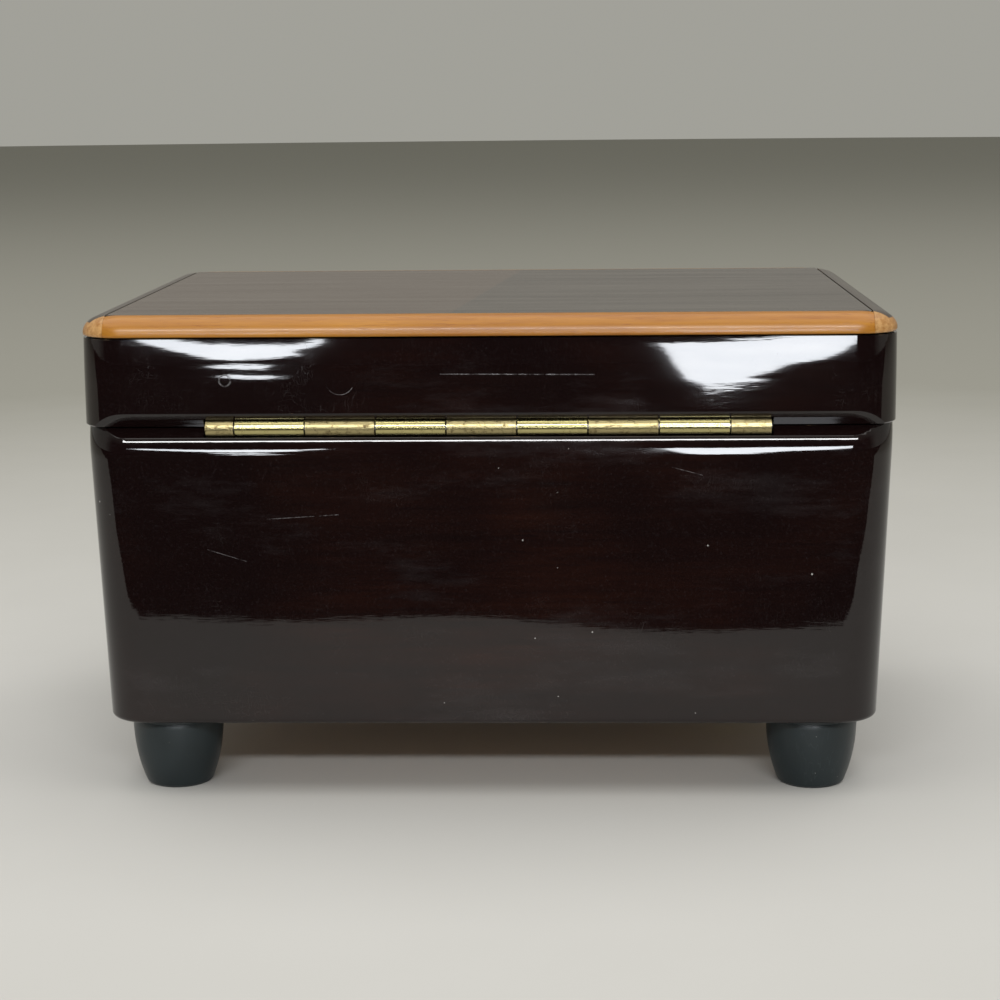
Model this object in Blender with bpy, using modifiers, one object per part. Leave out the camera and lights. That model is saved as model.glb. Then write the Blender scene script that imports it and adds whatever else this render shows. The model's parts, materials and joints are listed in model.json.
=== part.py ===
"""A small lacquered music box on four turned feet, as separate pieces in metres, with +Z up.

The rear, with its piano hinge in a V groove, faces +Y. The origin is on the surface that the feet
stand on, under the middle of the box. Everything is shown with the lid closed.
"""

import math

import bmesh
import bpy
from mathutils import Matrix, Vector

# Clearances, shared by all pieces
PIECE_GAP = 0.0003
SEAM_GAP = 0.0003
CUT_RUN = 0.0020

# Casing
LID_WIDTH = 0.1470
LID_DEPTH = 0.1100
LID_HEIGHT = 0.0202
BASE_HEIGHT = 0.0552
BASE_STEP = 0.0003
WALL_LEAN = 0.0020
WALL_THICKNESS = 0.0080
CORNER_RADIUS = 0.0080
CORNER_SEGMENTS = 6
BOTTOM_THICKNESS = 0.0040

# Feet, turned, with a tenon that is glued into the bottom panel
FOOT_HEIGHT = 0.0140
FOOT_TOP_RADIUS = 0.00855
FOOT_FLOOR_RADIUS = 0.0061
FOOT_CURVE_POWER = 2.4
FOOT_INSET_X = 0.0115
FOOT_INSET_Y = 0.0121
FOOT_TENON_RADIUS = 0.0025
FOOT_TENON_LENGTH = 0.0032
FOOT_STEPS = 20
FOOT_RINGS = 7

# Edging round the lid's top
STRIP_HEIGHT = 0.0038
STRIP_WIDTH = 0.0035
STRIP_ROUND = 0.0032
STRIP_SEGMENTS = 4
SIDE_STRIP_WIDTH = 0.0048
LID_LINING_THICKNESS = 0.0012

# Piano hinge: nine knuckles, the two end ones cut short
BARREL_RADIUS = 0.0016
BARREL_SIDES = 16
KNUCKLE_PITCH = 0.0127
START_KNUCKLE = 0.0074
END_KNUCKLE = 0.0053
KNUCKLE_COUNT = 9
HINGE_INSET = 0.0020
HINGE_BORE_RADIUS = 0.0009
HINGE_PIN_RADIUS = 0.00068
LEAF_THICKNESS = 0.0008
LEAF_WIDTH = 0.0050
LID_CHAMFER_HEIGHT = 0.0026
LID_CHAMFER_DEPTH = 0.0023
BASE_CHAMFER_HEIGHT = 0.0019
BASE_CHAMFER_DEPTH = 0.0020
HINGE_SCREW_OUT = 0.0320
HINGE_SCREW_HEAD = 0.00105
HINGE_SCREW_SHANK = 0.0006
HINGE_SCREW_LENGTH = 0.0060

# Inside of the base
PARTITION_THICKNESS = 0.0030
PARTITION_DROP = 0.0060
COVER_THICKNESS = 0.0020
COVER_DROP = 0.0150
LEDGE_DEPTH = 0.0040
LEDGE_HEIGHT = 0.0050
FINGER_HOLE_RADIUS = 0.0070
FINGER_HOLE_IN = 0.0120
PAD_THICKNESS = 0.0015
LINING_THICKNESS = 0.0010
LINING_DROP = 0.0020

# Movement: the bedplate and what it carries. Its train sets its length, and the bay's
BED_WIDTH = 0.0410
BED_THICKNESS = 0.0030
BED_CORNER = 0.0030
BED_CORNER_SEGMENTS = 3
BED_FROM_WALL = 0.0012
BED_PAST_FRAME = 0.00064
BED_FROM_PARTITION = 0.0035
BED_SCREW_INSET = 0.0040
MOVEMENT_SCREW_SHANK = 0.0010
MOVEMENT_SCREW_HEAD = 0.0027
MOVEMENT_SCREW_HEAD_HEIGHT = 0.0014
MOVEMENT_SCREW_BITE = 0.0024
BEARING_THICKNESS = 0.0012
BEARING_RISE = 0.0030
BEARING_HALF_WIDTH = 0.0045

# Spring barrel, great wheel and winding key
BARREL_CUP_RADIUS = 0.0128
BARREL_CUP_HEIGHT = 0.0080
BARREL_CUP_WALL = 0.0008
BARREL_CUP_FROM_END = 0.0005
SPRING_TURNS = 5
SPRING_STEPS = 18
SPRING_THICKNESS = 0.0004
SPRING_SIDE_GAP = 0.0008
ARBOR_RADIUS = 0.0015
ARBOR_BORE_RADIUS = 0.0018
WHEEL_THICKNESS = 0.0012
WHEEL_TEETH = 40
WHEEL_RADIUS = 0.0124
WHEEL_TOOTH_LENGTH = 0.0022
WHEEL_RIM = 0.0002
WHEEL_HUB_RADIUS = 0.0032
WHEEL_HUB_HEIGHT = 0.0012
KEY_HOLE_RADIUS = 0.0045
KEY_COLLAR_RADIUS = 0.0031
KEY_COLLAR_HEIGHT = 0.0045
KEY_HOLD = 0.0036
KEY_DROP = 0.0010
KEY_WING_WIDTH = 0.0220
KEY_WING_HEIGHT = 0.0065
KEY_WING_THICKNESS = 0.0020
KEY_WING_ROUND = 0.0026
KEY_WING_STEPS = 4

# Cylinder, its gears and the comb
CYLINDER_RADIUS = 0.0065
CYLINDER_LENGTH = 0.0160
CYLINDER_SIDES = 28
CYLINDER_ARBOR_RADIUS = 0.0010
CYLINDER_BORE_RADIUS = 0.0012
CYLINDER_PINION_TEETH = 10
CYLINDER_PINION_WIDTH = 0.0030
CYLINDER_GEAR_TEETH = 40
CYLINDER_GEAR_WIDTH = 0.0012
PIN_WIDTH = 0.0004
PIN_HEIGHT = 0.0008
PIN_COUNT = 72
NOTE_COUNT = 18
COMB_THICKNESS = 0.0010
COMB_SLOT = 0.0003
COMB_TOOTH_LONG = 0.0082
COMB_TOOTH_SHORT = 0.0056
COMB_HEEL = 0.0048
COMB_TIP_GAP = 0.0003
COMB_SCREW_OUT = 0.0050
COMB_SCREW_RADIUS = 0.0009
COMB_SCREW_HEAD = 0.0017
COMB_SCREW_HEAD_HEIGHT = 0.0011
COMB_SCREW_LENGTH = 0.0060

# Governor: wheel, worm and air fly
GOVERNOR_PINION_TEETH = 10
GOVERNOR_MODULE = 0.00032
GOVERNOR_DROP_DEGREES = 30
GOVERNOR_AXLE_RADIUS = 0.0005
GOVERNOR_BORE_RADIUS = 0.0007
WORM_WHEEL_TEETH = 20
WORM_WHEEL_RADIUS = 0.0050
WORM_WHEEL_WIDTH = 0.0016
WORM_CORE_RADIUS = 0.00095
WORM_THREAD_RADIUS = 0.00036
WORM_THREAD_OUT = 0.00120
WORM_DISTANCE = 0.00655
WORM_TURNS = 4
WORM_STEPS = 12
WORM_SHAFT_RADIUS = 0.0006
WORM_BORE_RADIUS = 0.0008
GOVERNOR_PLATE = 0.0012
GOVERNOR_ARM_REACH = 0.0042
GOVERNOR_ARM_HALF_WIDTH = 0.0024
GOVERNOR_ARM_THICKNESS = 0.0014
FLY_RADIUS = 0.0039
FLY_HEIGHT = 0.0036
FLY_THICKNESS = 0.0005
FLY_HUB_RADIUS = 0.0013

# Stop wire, which the lid presses down. WIRE_HOLD is what stays under the arm when it has risen
WIRE_RADIUS = 0.0006
WIRE_HOLE_RADIUS = 0.0010
WIRE_JOG = 0.0008
WIRE_LIFT = 0.0030
WIRE_HOLD = 0.0060

# Tooth proportions: half widths are shares of the tooth pitch, heights are shares of the module
TIP_HALF_SHARE = 0.09
ROOT_HALF_SHARE = 0.25
ADDENDUM_SHARE = 0.80
DEDENDUM_SHARE = 1.15
CROWN_DEDENDUM_SHARE = 1.33

# The flat part of each round screw head
COMB_HEAD_FLAT_SHARE = 0.80
MOVEMENT_HEAD_FLAT_SHARE = 0.75

# How round pieces are faceted and shaded, and the distances at which points are merged
ROUND_SIDES = 12
ROUND_BEVEL_SHARE = 0.5
SMOOTH_DEGREES = 35
MERGE = 0.00001
WELD = 0.000001

# Heights and half sizes that follow from the sizes above
SEAM_Z = FOOT_HEIGHT + BASE_HEIGHT
TOP_Z = SEAM_Z + LID_HEIGHT
BASE_TOP_Z = SEAM_Z - SEAM_GAP / 2
LID_LOW_Z = SEAM_Z + SEAM_GAP / 2
RAIL_TOP_Z = TOP_Z - STRIP_HEIGHT - PIECE_GAP
BASE_HALF_X = LID_WIDTH / 2 - BASE_STEP
BASE_HALF_Y = LID_DEPTH / 2 - BASE_STEP
INNER_X = BASE_HALF_X - WALL_THICKNESS
INNER_Y = BASE_HALF_Y - WALL_THICKNESS
FIT_X = INNER_X - PIECE_GAP
FIT_Y = INNER_Y - PIECE_GAP
FLOOR_Z = FOOT_HEIGHT + BOTTOM_THICKNESS
STAND_Z = FLOOR_Z + PIECE_GAP
LINING_Z = TOP_Z - STRIP_HEIGHT - PIECE_GAP - LID_LINING_THICKNESS
HINGE_Y = LID_DEPTH / 2 - HINGE_INSET
BARREL_LENGTH = START_KNUCKLE + (KNUCKLE_COUNT - 2) * KNUCKLE_PITCH + END_KNUCKLE
FOOT_X = BASE_HALF_X - WALL_LEAN - FOOT_INSET_X
FOOT_Y = BASE_HALF_Y - WALL_LEAN - FOOT_INSET_Y

# Places in the movement bay, which lies along the left wall
PARTITION_TOP = BASE_TOP_Z - PARTITION_DROP
COVER_Z = BASE_TOP_Z - COVER_DROP
BED_LEFT = BED_FROM_WALL - INNER_X
BED_TOP = STAND_Z + BED_THICKNESS
DECK_Z = BED_TOP + PIECE_GAP
ARBOR_X = BED_LEFT + BARREL_CUP_FROM_END + BARREL_CUP_RADIUS
CUP_TOP = DECK_Z + BARREL_CUP_HEIGHT
WHEEL_Z = CUP_TOP + PIECE_GAP
WHEEL_TOP = WHEEL_Z + WHEEL_THICKNESS
CROWN_RADIUS = WHEEL_RADIUS - WHEEL_RIM - WHEEL_TOOTH_LENGTH / 2
CROWN_MODULE = 2 * CROWN_RADIUS / WHEEL_TEETH
CROWN_Z = WHEEL_TOP + CROWN_MODULE * CROWN_DEDENDUM_SHARE
CYLINDER_PINION_RADIUS = CROWN_MODULE * CYLINDER_PINION_TEETH / 2
CYLINDER_Z = CROWN_Z + CYLINDER_PINION_RADIUS
BEARING_LEFT_X = ARBOR_X + BARREL_CUP_RADIUS + PIECE_GAP
PINION_X = ARBOR_X + CROWN_RADIUS - CYLINDER_PINION_WIDTH / 2
CYLINDER_X = BEARING_LEFT_X + BEARING_THICKNESS + PIECE_GAP
CYLINDER_END = CYLINDER_X + CYLINDER_LENGTH
BEARING_RIGHT_X = CYLINDER_END + PIECE_GAP
GEAR_X = BEARING_RIGHT_X + BEARING_THICKNESS + PIECE_GAP
GEAR_END = GEAR_X + CYLINDER_GEAR_WIDTH
CYLINDER_GEAR_RADIUS = GOVERNOR_MODULE * CYLINDER_GEAR_TEETH / 2
GOVERNOR_PINION_RADIUS = GOVERNOR_MODULE * GOVERNOR_PINION_TEETH / 2
GOVERNOR_DROP = math.radians(GOVERNOR_DROP_DEGREES)
GOVERNOR_DISTANCE = CYLINDER_GEAR_RADIUS + GOVERNOR_PINION_RADIUS
GOVERNOR_Y = GOVERNOR_DISTANCE * math.cos(GOVERNOR_DROP)
GOVERNOR_Z = CYLINDER_Z - GOVERNOR_DISTANCE * math.sin(GOVERNOR_DROP)
WORM_WHEEL_X = GEAR_END + 2 * PIECE_GAP
WORM_X = WORM_WHEEL_X + WORM_WHEEL_WIDTH / 2
WORM_Y = GOVERNOR_Y + WORM_DISTANCE
WORM_PITCH = 2 * math.pi * WORM_WHEEL_RADIUS / WORM_WHEEL_TEETH
GOVERNOR_PLATE_X = WORM_X + WORM_THREAD_OUT + WORM_THREAD_RADIUS + PIECE_GAP
BED_RIGHT = GOVERNOR_PLATE_X + GOVERNOR_PLATE + BED_PAST_FRAME
BAY_RIGHT = BED_RIGHT + BED_FROM_PARTITION
WORM_WHEEL_MODULE = 2 * WORM_WHEEL_RADIUS / WORM_WHEEL_TEETH
ARM_Z = GOVERNOR_Z + WORM_WHEEL_RADIUS + WORM_WHEEL_MODULE * ADDENDUM_SHARE + 2 * PIECE_GAP
ARM_TOP = ARM_Z + GOVERNOR_ARM_THICKNESS
FLY_Z = ARM_TOP + 2 * PIECE_GAP
JOG_Y = WORM_Y + FLY_RADIUS + PIECE_GAP + WIRE_RADIUS
WIRE_Y = JOG_Y + WIRE_JOG

# Turns a local Z axis onto +X, a local X axis onto +Y and a local Y axis onto +Z
ALONG_X = (math.pi / 2, 0, math.pi / 2)
QUARTER = math.pi / 2
GOLDEN_ANGLE = math.pi * (3 - math.sqrt(5))


def clear_scene():
    for old in list(bpy.data.objects):
        bpy.data.objects.remove(old)


def new_collection(name):
    collection = bpy.data.collections.new(name)
    bpy.context.scene.collection.children.link(collection)
    return collection


def finish(name, colour, roughness, metallic=0.0, alpha=1.0):
    material = bpy.data.materials.new(name)
    material.use_nodes = True
    shader = material.node_tree.nodes["Principled BSDF"]
    shader.inputs["Base Color"].default_value = (*colour, 1.0)
    shader.inputs["Roughness"].default_value = roughness
    shader.inputs["Metallic"].default_value = metallic
    shader.inputs["Alpha"].default_value = alpha
    material.diffuse_color = (*colour, alpha)
    return material


clear_scene()
PARTS = new_collection("music_box")
CUTTERS = new_collection("cutters")
LACQUER = finish("dark_lacquer", (0.045, 0.020, 0.016), 0.12)
VENEER = finish("dark_veneer", (0.085, 0.060, 0.045), 0.20)
HONEY = finish("honey_wood", (0.60, 0.32, 0.09), 0.25)
BARE_WOOD = finish("bare_wood", (0.42, 0.27, 0.15), 0.60)
FOOT_PAINT = finish("foot_paint", (0.030, 0.050, 0.060), 0.35)
BRASS = finish("brass", (0.60, 0.46, 0.16), 0.28, 1.0)
STEEL = finish("steel", (0.60, 0.60, 0.60), 0.30, 1.0)
ZINC = finish("cast_zinc", (0.52, 0.53, 0.54), 0.45, 1.0)
NYLON = finish("nylon", (0.80, 0.78, 0.72), 0.45)
VELVET = finish("velvet", (0.30, 0.020, 0.035), 0.95)
CLEAR = finish("clear_plastic", (0.92, 0.94, 0.94), 0.08, 0.0, 0.35)


def add(name, data, material, helper=False):
    """An object in the parts' collection, or a hidden cutter or guide in the other one."""
    made = bpy.data.objects.new(name, data)
    (CUTTERS if helper else PARTS).objects.link(made)
    if material:
        data.materials.append(material)
    if helper:
        made.hide_render = True
        made.display_type = "WIRE"
    return made


def pivot(name, place):
    made = bpy.data.objects.new(name, None)
    made.location = place
    PARTS.objects.link(made)
    return made


def hang_on(parent, *pieces):
    """Parents pieces to an unturned empty on their joint's axis, and leaves them where they are."""
    for piece in pieces:
        piece.parent = parent
        piece.location = piece.location - parent.location


def mesh_from(bm, name):
    mesh = bpy.data.meshes.new(name)
    bm.to_mesh(mesh)
    bm.free()
    return mesh


def shade_round(piece):
    piece.data.shade_smooth()
    piece.data.set_sharp_from_angle(angle=math.radians(SMOOTH_DEGREES))


def box(name, low, high, material, helper=False):
    low, high = Vector(low), Vector(high)
    bm = bmesh.new()
    bmesh.ops.create_cube(bm, size=1)
    bmesh.ops.scale(bm, vec=high - low, verts=bm.verts)
    made = add(name, mesh_from(bm, name), material, helper)
    made.location = (low + high) / 2
    return made


def cylinder(name, radius, length, start, material, along_x=False, sides=ROUND_SIDES, helper=False):
    """A cylinder that begins at start and runs up, or along +X."""
    bm = bmesh.new()
    bmesh.ops.create_cone(bm, cap_ends=True, segments=sides, radius1=radius, radius2=radius, depth=length)
    bmesh.ops.translate(bm, verts=bm.verts, vec=(0, 0, length / 2))
    made = add(name, mesh_from(bm, name), material, helper)
    made.location = start
    if along_x:
        made.rotation_euler = ALONG_X
    if not helper:
        shade_round(made)
    return made


def turned(name, profile, place, material, steps=ROUND_SIDES, ring=False, helper=False):
    """A turned piece. Its profile of (radius, height) runs down its outer side.

    A ring's profile closes on itself, and any other begins and ends on the axis.
    """
    bm = bmesh.new()
    points = [bm.verts.new((radius, 0, height)) for radius, height in profile]
    for first, second in zip(points, points[1:]):
        bm.edges.new((first, second))
    if ring:
        bm.edges.new((points[-1], points[0]))
    made = add(name, mesh_from(bm, name), material, helper)
    made.location = place
    screw = made.modifiers.new("turn", "SCREW")
    screw.steps = steps
    screw.render_steps = steps
    screw.use_merge_vertices = True
    screw.merge_threshold = MERGE
    return made


def flat(name, outlines, start, thickness, material, along_x=False):
    """A flat piece that begins at start. The first outline is its edge, and the others are holes."""
    curve = bpy.data.curves.new(name, "CURVE")
    curve.dimensions = "2D"
    curve.fill_mode = "BOTH"
    curve.extrude = thickness / 2
    for outline in outlines:
        spline = curve.splines.new("POLY")
        spline.points.add(len(outline) - 1)
        for point, (x, y) in zip(spline.points, outline):
            point.co = (x, y, 0, 1)
        spline.use_cyclic_u = True
    made = add(name, curve, material)
    shift = Vector((thickness / 2, 0, 0)) if along_x else Vector((0, 0, thickness / 2))
    made.location = Vector(start) + shift
    if along_x:
        made.rotation_euler = ALONG_X
    return made


def tube(name, route, radius, material):
    curve = bpy.data.curves.new(name, "CURVE")
    curve.dimensions = "3D"
    curve.bevel_depth = radius
    curve.bevel_resolution = 1
    curve.use_fill_caps = True
    spline = curve.splines.new("POLY")
    spline.points.add(len(route) - 1)
    for point, place in zip(spline.points, route):
        point.co = (*place, 1)
    return add(name, curve, material)


def as_mesh(piece, helper=False):
    """The same piece as a welded mesh, so that it can be cut, joined or used as a cutter."""
    bpy.context.view_layer.update()
    graph = bpy.context.evaluated_depsgraph_get()
    mesh = bpy.data.meshes.new_from_object(piece.evaluated_get(graph))
    bm = bmesh.new()
    bm.from_mesh(mesh)
    bmesh.ops.remove_doubles(bm, verts=bm.verts, dist=WELD)
    bm.to_mesh(mesh)
    bm.free()
    name, place = piece.name, piece.matrix_world.copy()
    bpy.data.objects.remove(piece)
    made = add(name, mesh, None, helper)
    made.matrix_world = place
    return made


def combine(piece, other, operation):
    step = piece.modifiers.new(other.name, "BOOLEAN")
    step.operation = operation
    step.object = other
    step.solver = "EXACT"


def cut(piece, *others):
    for other in others:
        combine(piece, other, "DIFFERENCE")


def join(piece, *others):
    for other in others:
        combine(piece, other, "UNION")


def circle(radius, middle=(0, 0), sides=ROUND_SIDES):
    turns = [2 * math.pi * i / sides for i in range(sides)]
    return [(middle[0] + radius * math.cos(t), middle[1] + radius * math.sin(t)) for t in turns]


def rectangle(low, high):
    return [low, (high[0], low[1]), high, (low[0], high[1])]


def gear_outline(teeth, radius, first_tooth):
    """Straight-flanked teeth with room to turn. first_tooth is the angle of one tooth's middle."""
    pitch = 2 * math.pi / teeth
    module = 2 * radius / teeth
    tip = radius + module * ADDENDUM_SHARE
    root = radius - module * DEDENDUM_SHARE
    outline = []
    for index in range(teeth):
        middle = first_tooth + pitch * index
        for distance, share in (
            (root, -ROOT_HALF_SHARE),
            (tip, -TIP_HALF_SHARE),
            (tip, TIP_HALF_SHARE),
            (root, ROOT_HALF_SHARE),
        ):
            angle = middle + pitch * share
            outline.append((distance * math.cos(angle), distance * math.sin(angle)))
    return outline


def round_edges(bm, edges, radius, segments):
    bmesh.ops.bevel(
        bm, geom=edges, offset=radius, segments=segments, profile=ROUND_BEVEL_SHARE, affect="EDGES"
    )


def rounded_block(name, low_half, high_half, low_z, high_z, top_round=0.0, helper=False):
    """A block with rounded upright corners. Its top may be wider, and its top edge rounded."""
    bm = bmesh.new()
    bmesh.ops.create_cube(bm, size=2)
    for vert in bm.verts:
        upper = vert.co.z > 0
        half = high_half if upper else low_half
        vert.co = (vert.co.x * half[0], vert.co.y * half[1], high_z if upper else low_z)
    middle_z = (low_z + high_z) / 2
    upright = [e for e in bm.edges if (e.verts[0].co.z > middle_z) != (e.verts[1].co.z > middle_z)]
    round_edges(bm, upright, CORNER_RADIUS, CORNER_SEGMENTS)
    if top_round:
        rim = [e for e in bm.edges if all(v.co.z > middle_z for v in e.verts)]
        round_edges(bm, rim, top_round, STRIP_SEGMENTS)
    return add(name, mesh_from(bm, name), None, helper)


def mitre_guide(name, side, half_x, half_y, low_z, high_z):
    """A prism over one side of the box, cut at 45 degrees at both corners."""
    reach = WALL_THICKNESS + CUT_RUN
    slack = PIECE_GAP / math.sqrt(2)
    along, across = (half_x, half_y) if side in ("front", "rear") else (half_y, half_x)
    outline = [
        (-along - CUT_RUN + slack, across + CUT_RUN),
        (along + CUT_RUN - slack, across + CUT_RUN),
        (along - reach - slack, across - reach),
        (reach + slack - along, across - reach),
    ]
    turn = {"rear": 0, "left": QUARTER, "front": 2 * QUARTER, "right": -QUARTER}[side]
    spin = Matrix.Rotation(turn, 2)
    outline = [tuple(spin @ Vector(point)) for point in outline]
    return as_mesh(flat(name, [outline], (0, 0, low_z), high_z - low_z, None), helper=True)


def mitred_sides(kind, piece, low_half, high_half, low_z, high_z):
    """Four sides of a box, mitred at its rounded corners, round one straight-sided space."""
    hollow = box(
        f"{kind}_hollow",
        (-INNER_X, -INNER_Y, low_z - CUT_RUN),
        (INNER_X, INNER_Y, high_z + CUT_RUN),
        None,
        helper=True,
    )
    made = {}
    for side in ("front", "rear", "left", "right"):
        block = rounded_block(f"{kind}_{side}_{piece}", low_half, high_half, low_z, high_z)
        guide = mitre_guide(f"{kind}_{side}_mitre", side, *high_half, low_z - CUT_RUN, high_z + CUT_RUN)
        block.data.materials.append(LACQUER)
        combine(block, guide, "INTERSECT")
        cut(block, hollow)
        made[side] = block
    return made


def make_walls():
    """The base's walls, which lean in towards the bottom."""
    low_half = (BASE_HALF_X - WALL_LEAN, BASE_HALF_Y - WALL_LEAN)
    return mitred_sides("base", "wall", low_half, (BASE_HALF_X, BASE_HALF_Y), FOOT_HEIGHT, BASE_TOP_Z)


def make_rails():
    """The lid's rails, straight-sided, over the same inner space."""
    half = (LID_WIDTH / 2, LID_DEPTH / 2)
    return mitred_sides("lid", "rail", half, half, LID_LOW_Z, RAIL_TOP_Z)


def make_lid_top():
    """The veneered panel and its edging: two full-depth side strips, and two that butt between them."""
    half = (LID_WIDTH / 2, LID_DEPTH / 2)
    low_z = TOP_Z - STRIP_HEIGHT
    butt_x = LID_WIDTH / 2 - SIDE_STRIP_WIDTH
    inner_y = LID_DEPTH / 2 - STRIP_WIDTH
    panel = box(
        "lid_panel",
        (PIECE_GAP - butt_x, PIECE_GAP - inner_y, low_z),
        (butt_x - PIECE_GAP, inner_y - PIECE_GAP, TOP_Z),
        VENEER,
    )
    pieces = [panel]
    out_x = LID_WIDTH / 2 + CUT_RUN
    out_y = LID_DEPTH / 2 + CUT_RUN
    zones = {
        "left": ((-out_x, -out_y), (-butt_x, out_y)),
        "right": ((butt_x, -out_y), (out_x, out_y)),
        "front": ((PIECE_GAP - butt_x, -out_y), (butt_x - PIECE_GAP, -inner_y)),
        "rear": ((PIECE_GAP - butt_x, inner_y), (butt_x - PIECE_GAP, out_y)),
    }
    for side, (low, high) in zones.items():
        strip = rounded_block(f"edge_strip_{side}", half, half, low_z, TOP_Z, STRIP_ROUND)
        zone = box(f"{side}_zone", (*low, low_z - CUT_RUN), (*high, TOP_Z + CUT_RUN), None, helper=True)
        strip.data.materials.append(HONEY)
        combine(strip, zone, "INTERSECT")
        pieces.append(strip)
    lining = box("lid_lining", (-FIT_X, -FIT_Y, LINING_Z), (FIT_X, FIT_Y, RAIL_TOP_Z), VELVET)
    return pieces + [lining]


def groove_cutter(name, rear, edge_z, height, depth):
    """A triangular prism whose long face is the chamfer, run on by half its size at both ends.

    A negative height cuts downwards from edge_z.
    """
    low = (rear - depth - depth / 2, edge_z - height / 2)
    high = (rear + depth / 2, edge_z + height + height / 2)
    outline = [low, (high[0], low[1]), high]
    start = (-LID_WIDTH / 2 - CUT_RUN, 0, 0)
    prism = flat(name, [outline], start, LID_WIDTH + 2 * CUT_RUN, None, along_x=True)
    return as_mesh(prism, helper=True)


def make_hinge(rear_wall, rear_rail):
    """Two leaves let into the wall and the rail, whose knuckles share one pin. Returns the lid's pieces."""
    axis_low = -BARREL_LENGTH / 2
    ends = [axis_low, axis_low + START_KNUCKLE]
    while len(ends) < KNUCKLE_COUNT:
        ends.append(ends[-1] + KNUCKLE_PITCH)
    ends.append(BARREL_LENGTH / 2)
    swing = BARREL_RADIUS + PIECE_GAP
    lower = groove_cutter("base_groove", BASE_HALF_Y, BASE_TOP_Z, -BASE_CHAMFER_HEIGHT, BASE_CHAMFER_DEPTH)
    upper = groove_cutter("lid_groove", LID_DEPTH / 2, LID_LOW_Z, LID_CHAMFER_HEIGHT, LID_CHAMFER_DEPTH)
    cut(rear_wall, lower)
    cut(rear_rail, upper)
    channel = cylinder(
        "barrel_channel",
        swing,
        BARREL_LENGTH + 2 * PIECE_GAP,
        (axis_low - PIECE_GAP, HINGE_Y, SEAM_Z),
        None,
        along_x=True,
        sides=BARREL_SIDES,
        helper=True,
    )
    bore = cylinder(
        "knuckle_bore",
        HINGE_BORE_RADIUS,
        BARREL_LENGTH + 2 * CUT_RUN,
        (axis_low - CUT_RUN, HINGE_Y, SEAM_Z),
        None,
        along_x=True,
        sides=BARREL_SIDES,
        helper=True,
    )
    screw_y = HINGE_Y - (LEAF_WIDTH + swing) / 2
    lid_pieces = []
    for own, wood, up, first in (("base", rear_wall, -1, 0), ("lid", rear_rail, 1, 1)):
        near, far = SEAM_Z + up * SEAM_GAP / 2, SEAM_Z + up * (SEAM_GAP / 2 + LEAF_THICKNESS)
        low_z, high_z = min(near, far), max(near, far)
        leaf_low = (axis_low, HINGE_Y - LEAF_WIDTH, low_z)
        leaf = box(f"hinge_leaf_{own}", leaf_low, (-axis_low, HINGE_Y - swing, high_z), BRASS)
        for index in range(first, KNUCKLE_COUNT, 2):
            start = ends[index] + (PIECE_GAP / 2 if index else 0)
            end = ends[index + 1] - (PIECE_GAP / 2 if index < KNUCKLE_COUNT - 1 else 0)
            tab = box(
                f"{own}_tab_{index}",
                (start, HINGE_Y - swing - PIECE_GAP, low_z),
                (end, HINGE_Y - BARREL_RADIUS / 2, high_z),
                None,
                helper=True,
            )
            knuckle = cylinder(
                f"{own}_knuckle_{index}",
                BARREL_RADIUS,
                end - start,
                (start, HINGE_Y, SEAM_Z),
                None,
                along_x=True,
                sides=BARREL_SIDES,
                helper=True,
            )
            join(leaf, tab, knuckle)
        cut(leaf, bore)
        cut(wood, channel)
        open_z, deep_z = near - up * CUT_RUN, far + up * PIECE_GAP
        rebate = box(
            f"{own}_rebate",
            (axis_low - PIECE_GAP, HINGE_Y - LEAF_WIDTH - PIECE_GAP, min(open_z, deep_z)),
            (PIECE_GAP - axis_low, HINGE_Y, max(open_z, deep_z)),
            None,
            helper=True,
        )
        cut(wood, rebate)
        for side, out in (("left", -HINGE_SCREW_OUT), ("right", HINGE_SCREW_OUT)):
            screw = hinge_screw(f"hinge_screw_{own}_{side}", (out, screw_y, near), up)
            hole, sink = hinge_screw_holes(f"{own}_{side}", (out, screw_y, near), up)
            cut(wood, hole)
            cut(leaf, sink)
            if own == "lid":
                lid_pieces.append(screw)
        if own == "lid":
            lid_pieces.append(leaf)
    cylinder(
        "hinge_pin",
        HINGE_PIN_RADIUS,
        BARREL_LENGTH,
        (axis_low, HINGE_Y, SEAM_Z),
        STEEL,
        along_x=True,
        sides=BARREL_SIDES,
    )
    return lid_pieces


def hinge_screw(name, place, up):
    """A small countersunk screw, flush with the leaf, that points down in the base and up in the lid."""
    profile = [
        (0, 0),
        (HINGE_SCREW_HEAD, 0),
        (HINGE_SCREW_SHANK, -LEAF_THICKNESS),
        (HINGE_SCREW_SHANK, -HINGE_SCREW_LENGTH),
        (0, -HINGE_SCREW_LENGTH - HINGE_SCREW_SHANK),
    ]
    screw = turned(name, profile, place, BRASS)
    if up > 0:
        screw.rotation_euler = (math.pi, 0, 0)
    return screw


def hinge_screw_holes(name, place, up):
    """The pilot hole in the wood and the countersunk hole in the leaf."""
    depth = HINGE_SCREW_LENGTH + HINGE_SCREW_SHANK + PIECE_GAP
    x, y, z = place
    low_z = z - CUT_RUN if up > 0 else z - depth
    radius = HINGE_SCREW_SHANK + PIECE_GAP
    hole = cylinder(f"{name}_pilot", radius, depth + CUT_RUN, (x, y, low_z), None, helper=True)
    slope = (HINGE_SCREW_HEAD - HINGE_SCREW_SHANK) / LEAF_THICKNESS
    wide = HINGE_SCREW_HEAD + PIECE_GAP
    profile = [
        (0, CUT_RUN),
        (wide + slope * CUT_RUN, CUT_RUN),
        (wide - slope * (LEAF_THICKNESS + PIECE_GAP), -LEAF_THICKNESS - PIECE_GAP),
        (0, -LEAF_THICKNESS - PIECE_GAP),
    ]
    sink = turned(f"{name}_sink", profile, place, None, helper=True)
    if up > 0:
        sink.rotation_euler = (math.pi, 0, 0)
    return hole, sink


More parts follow.
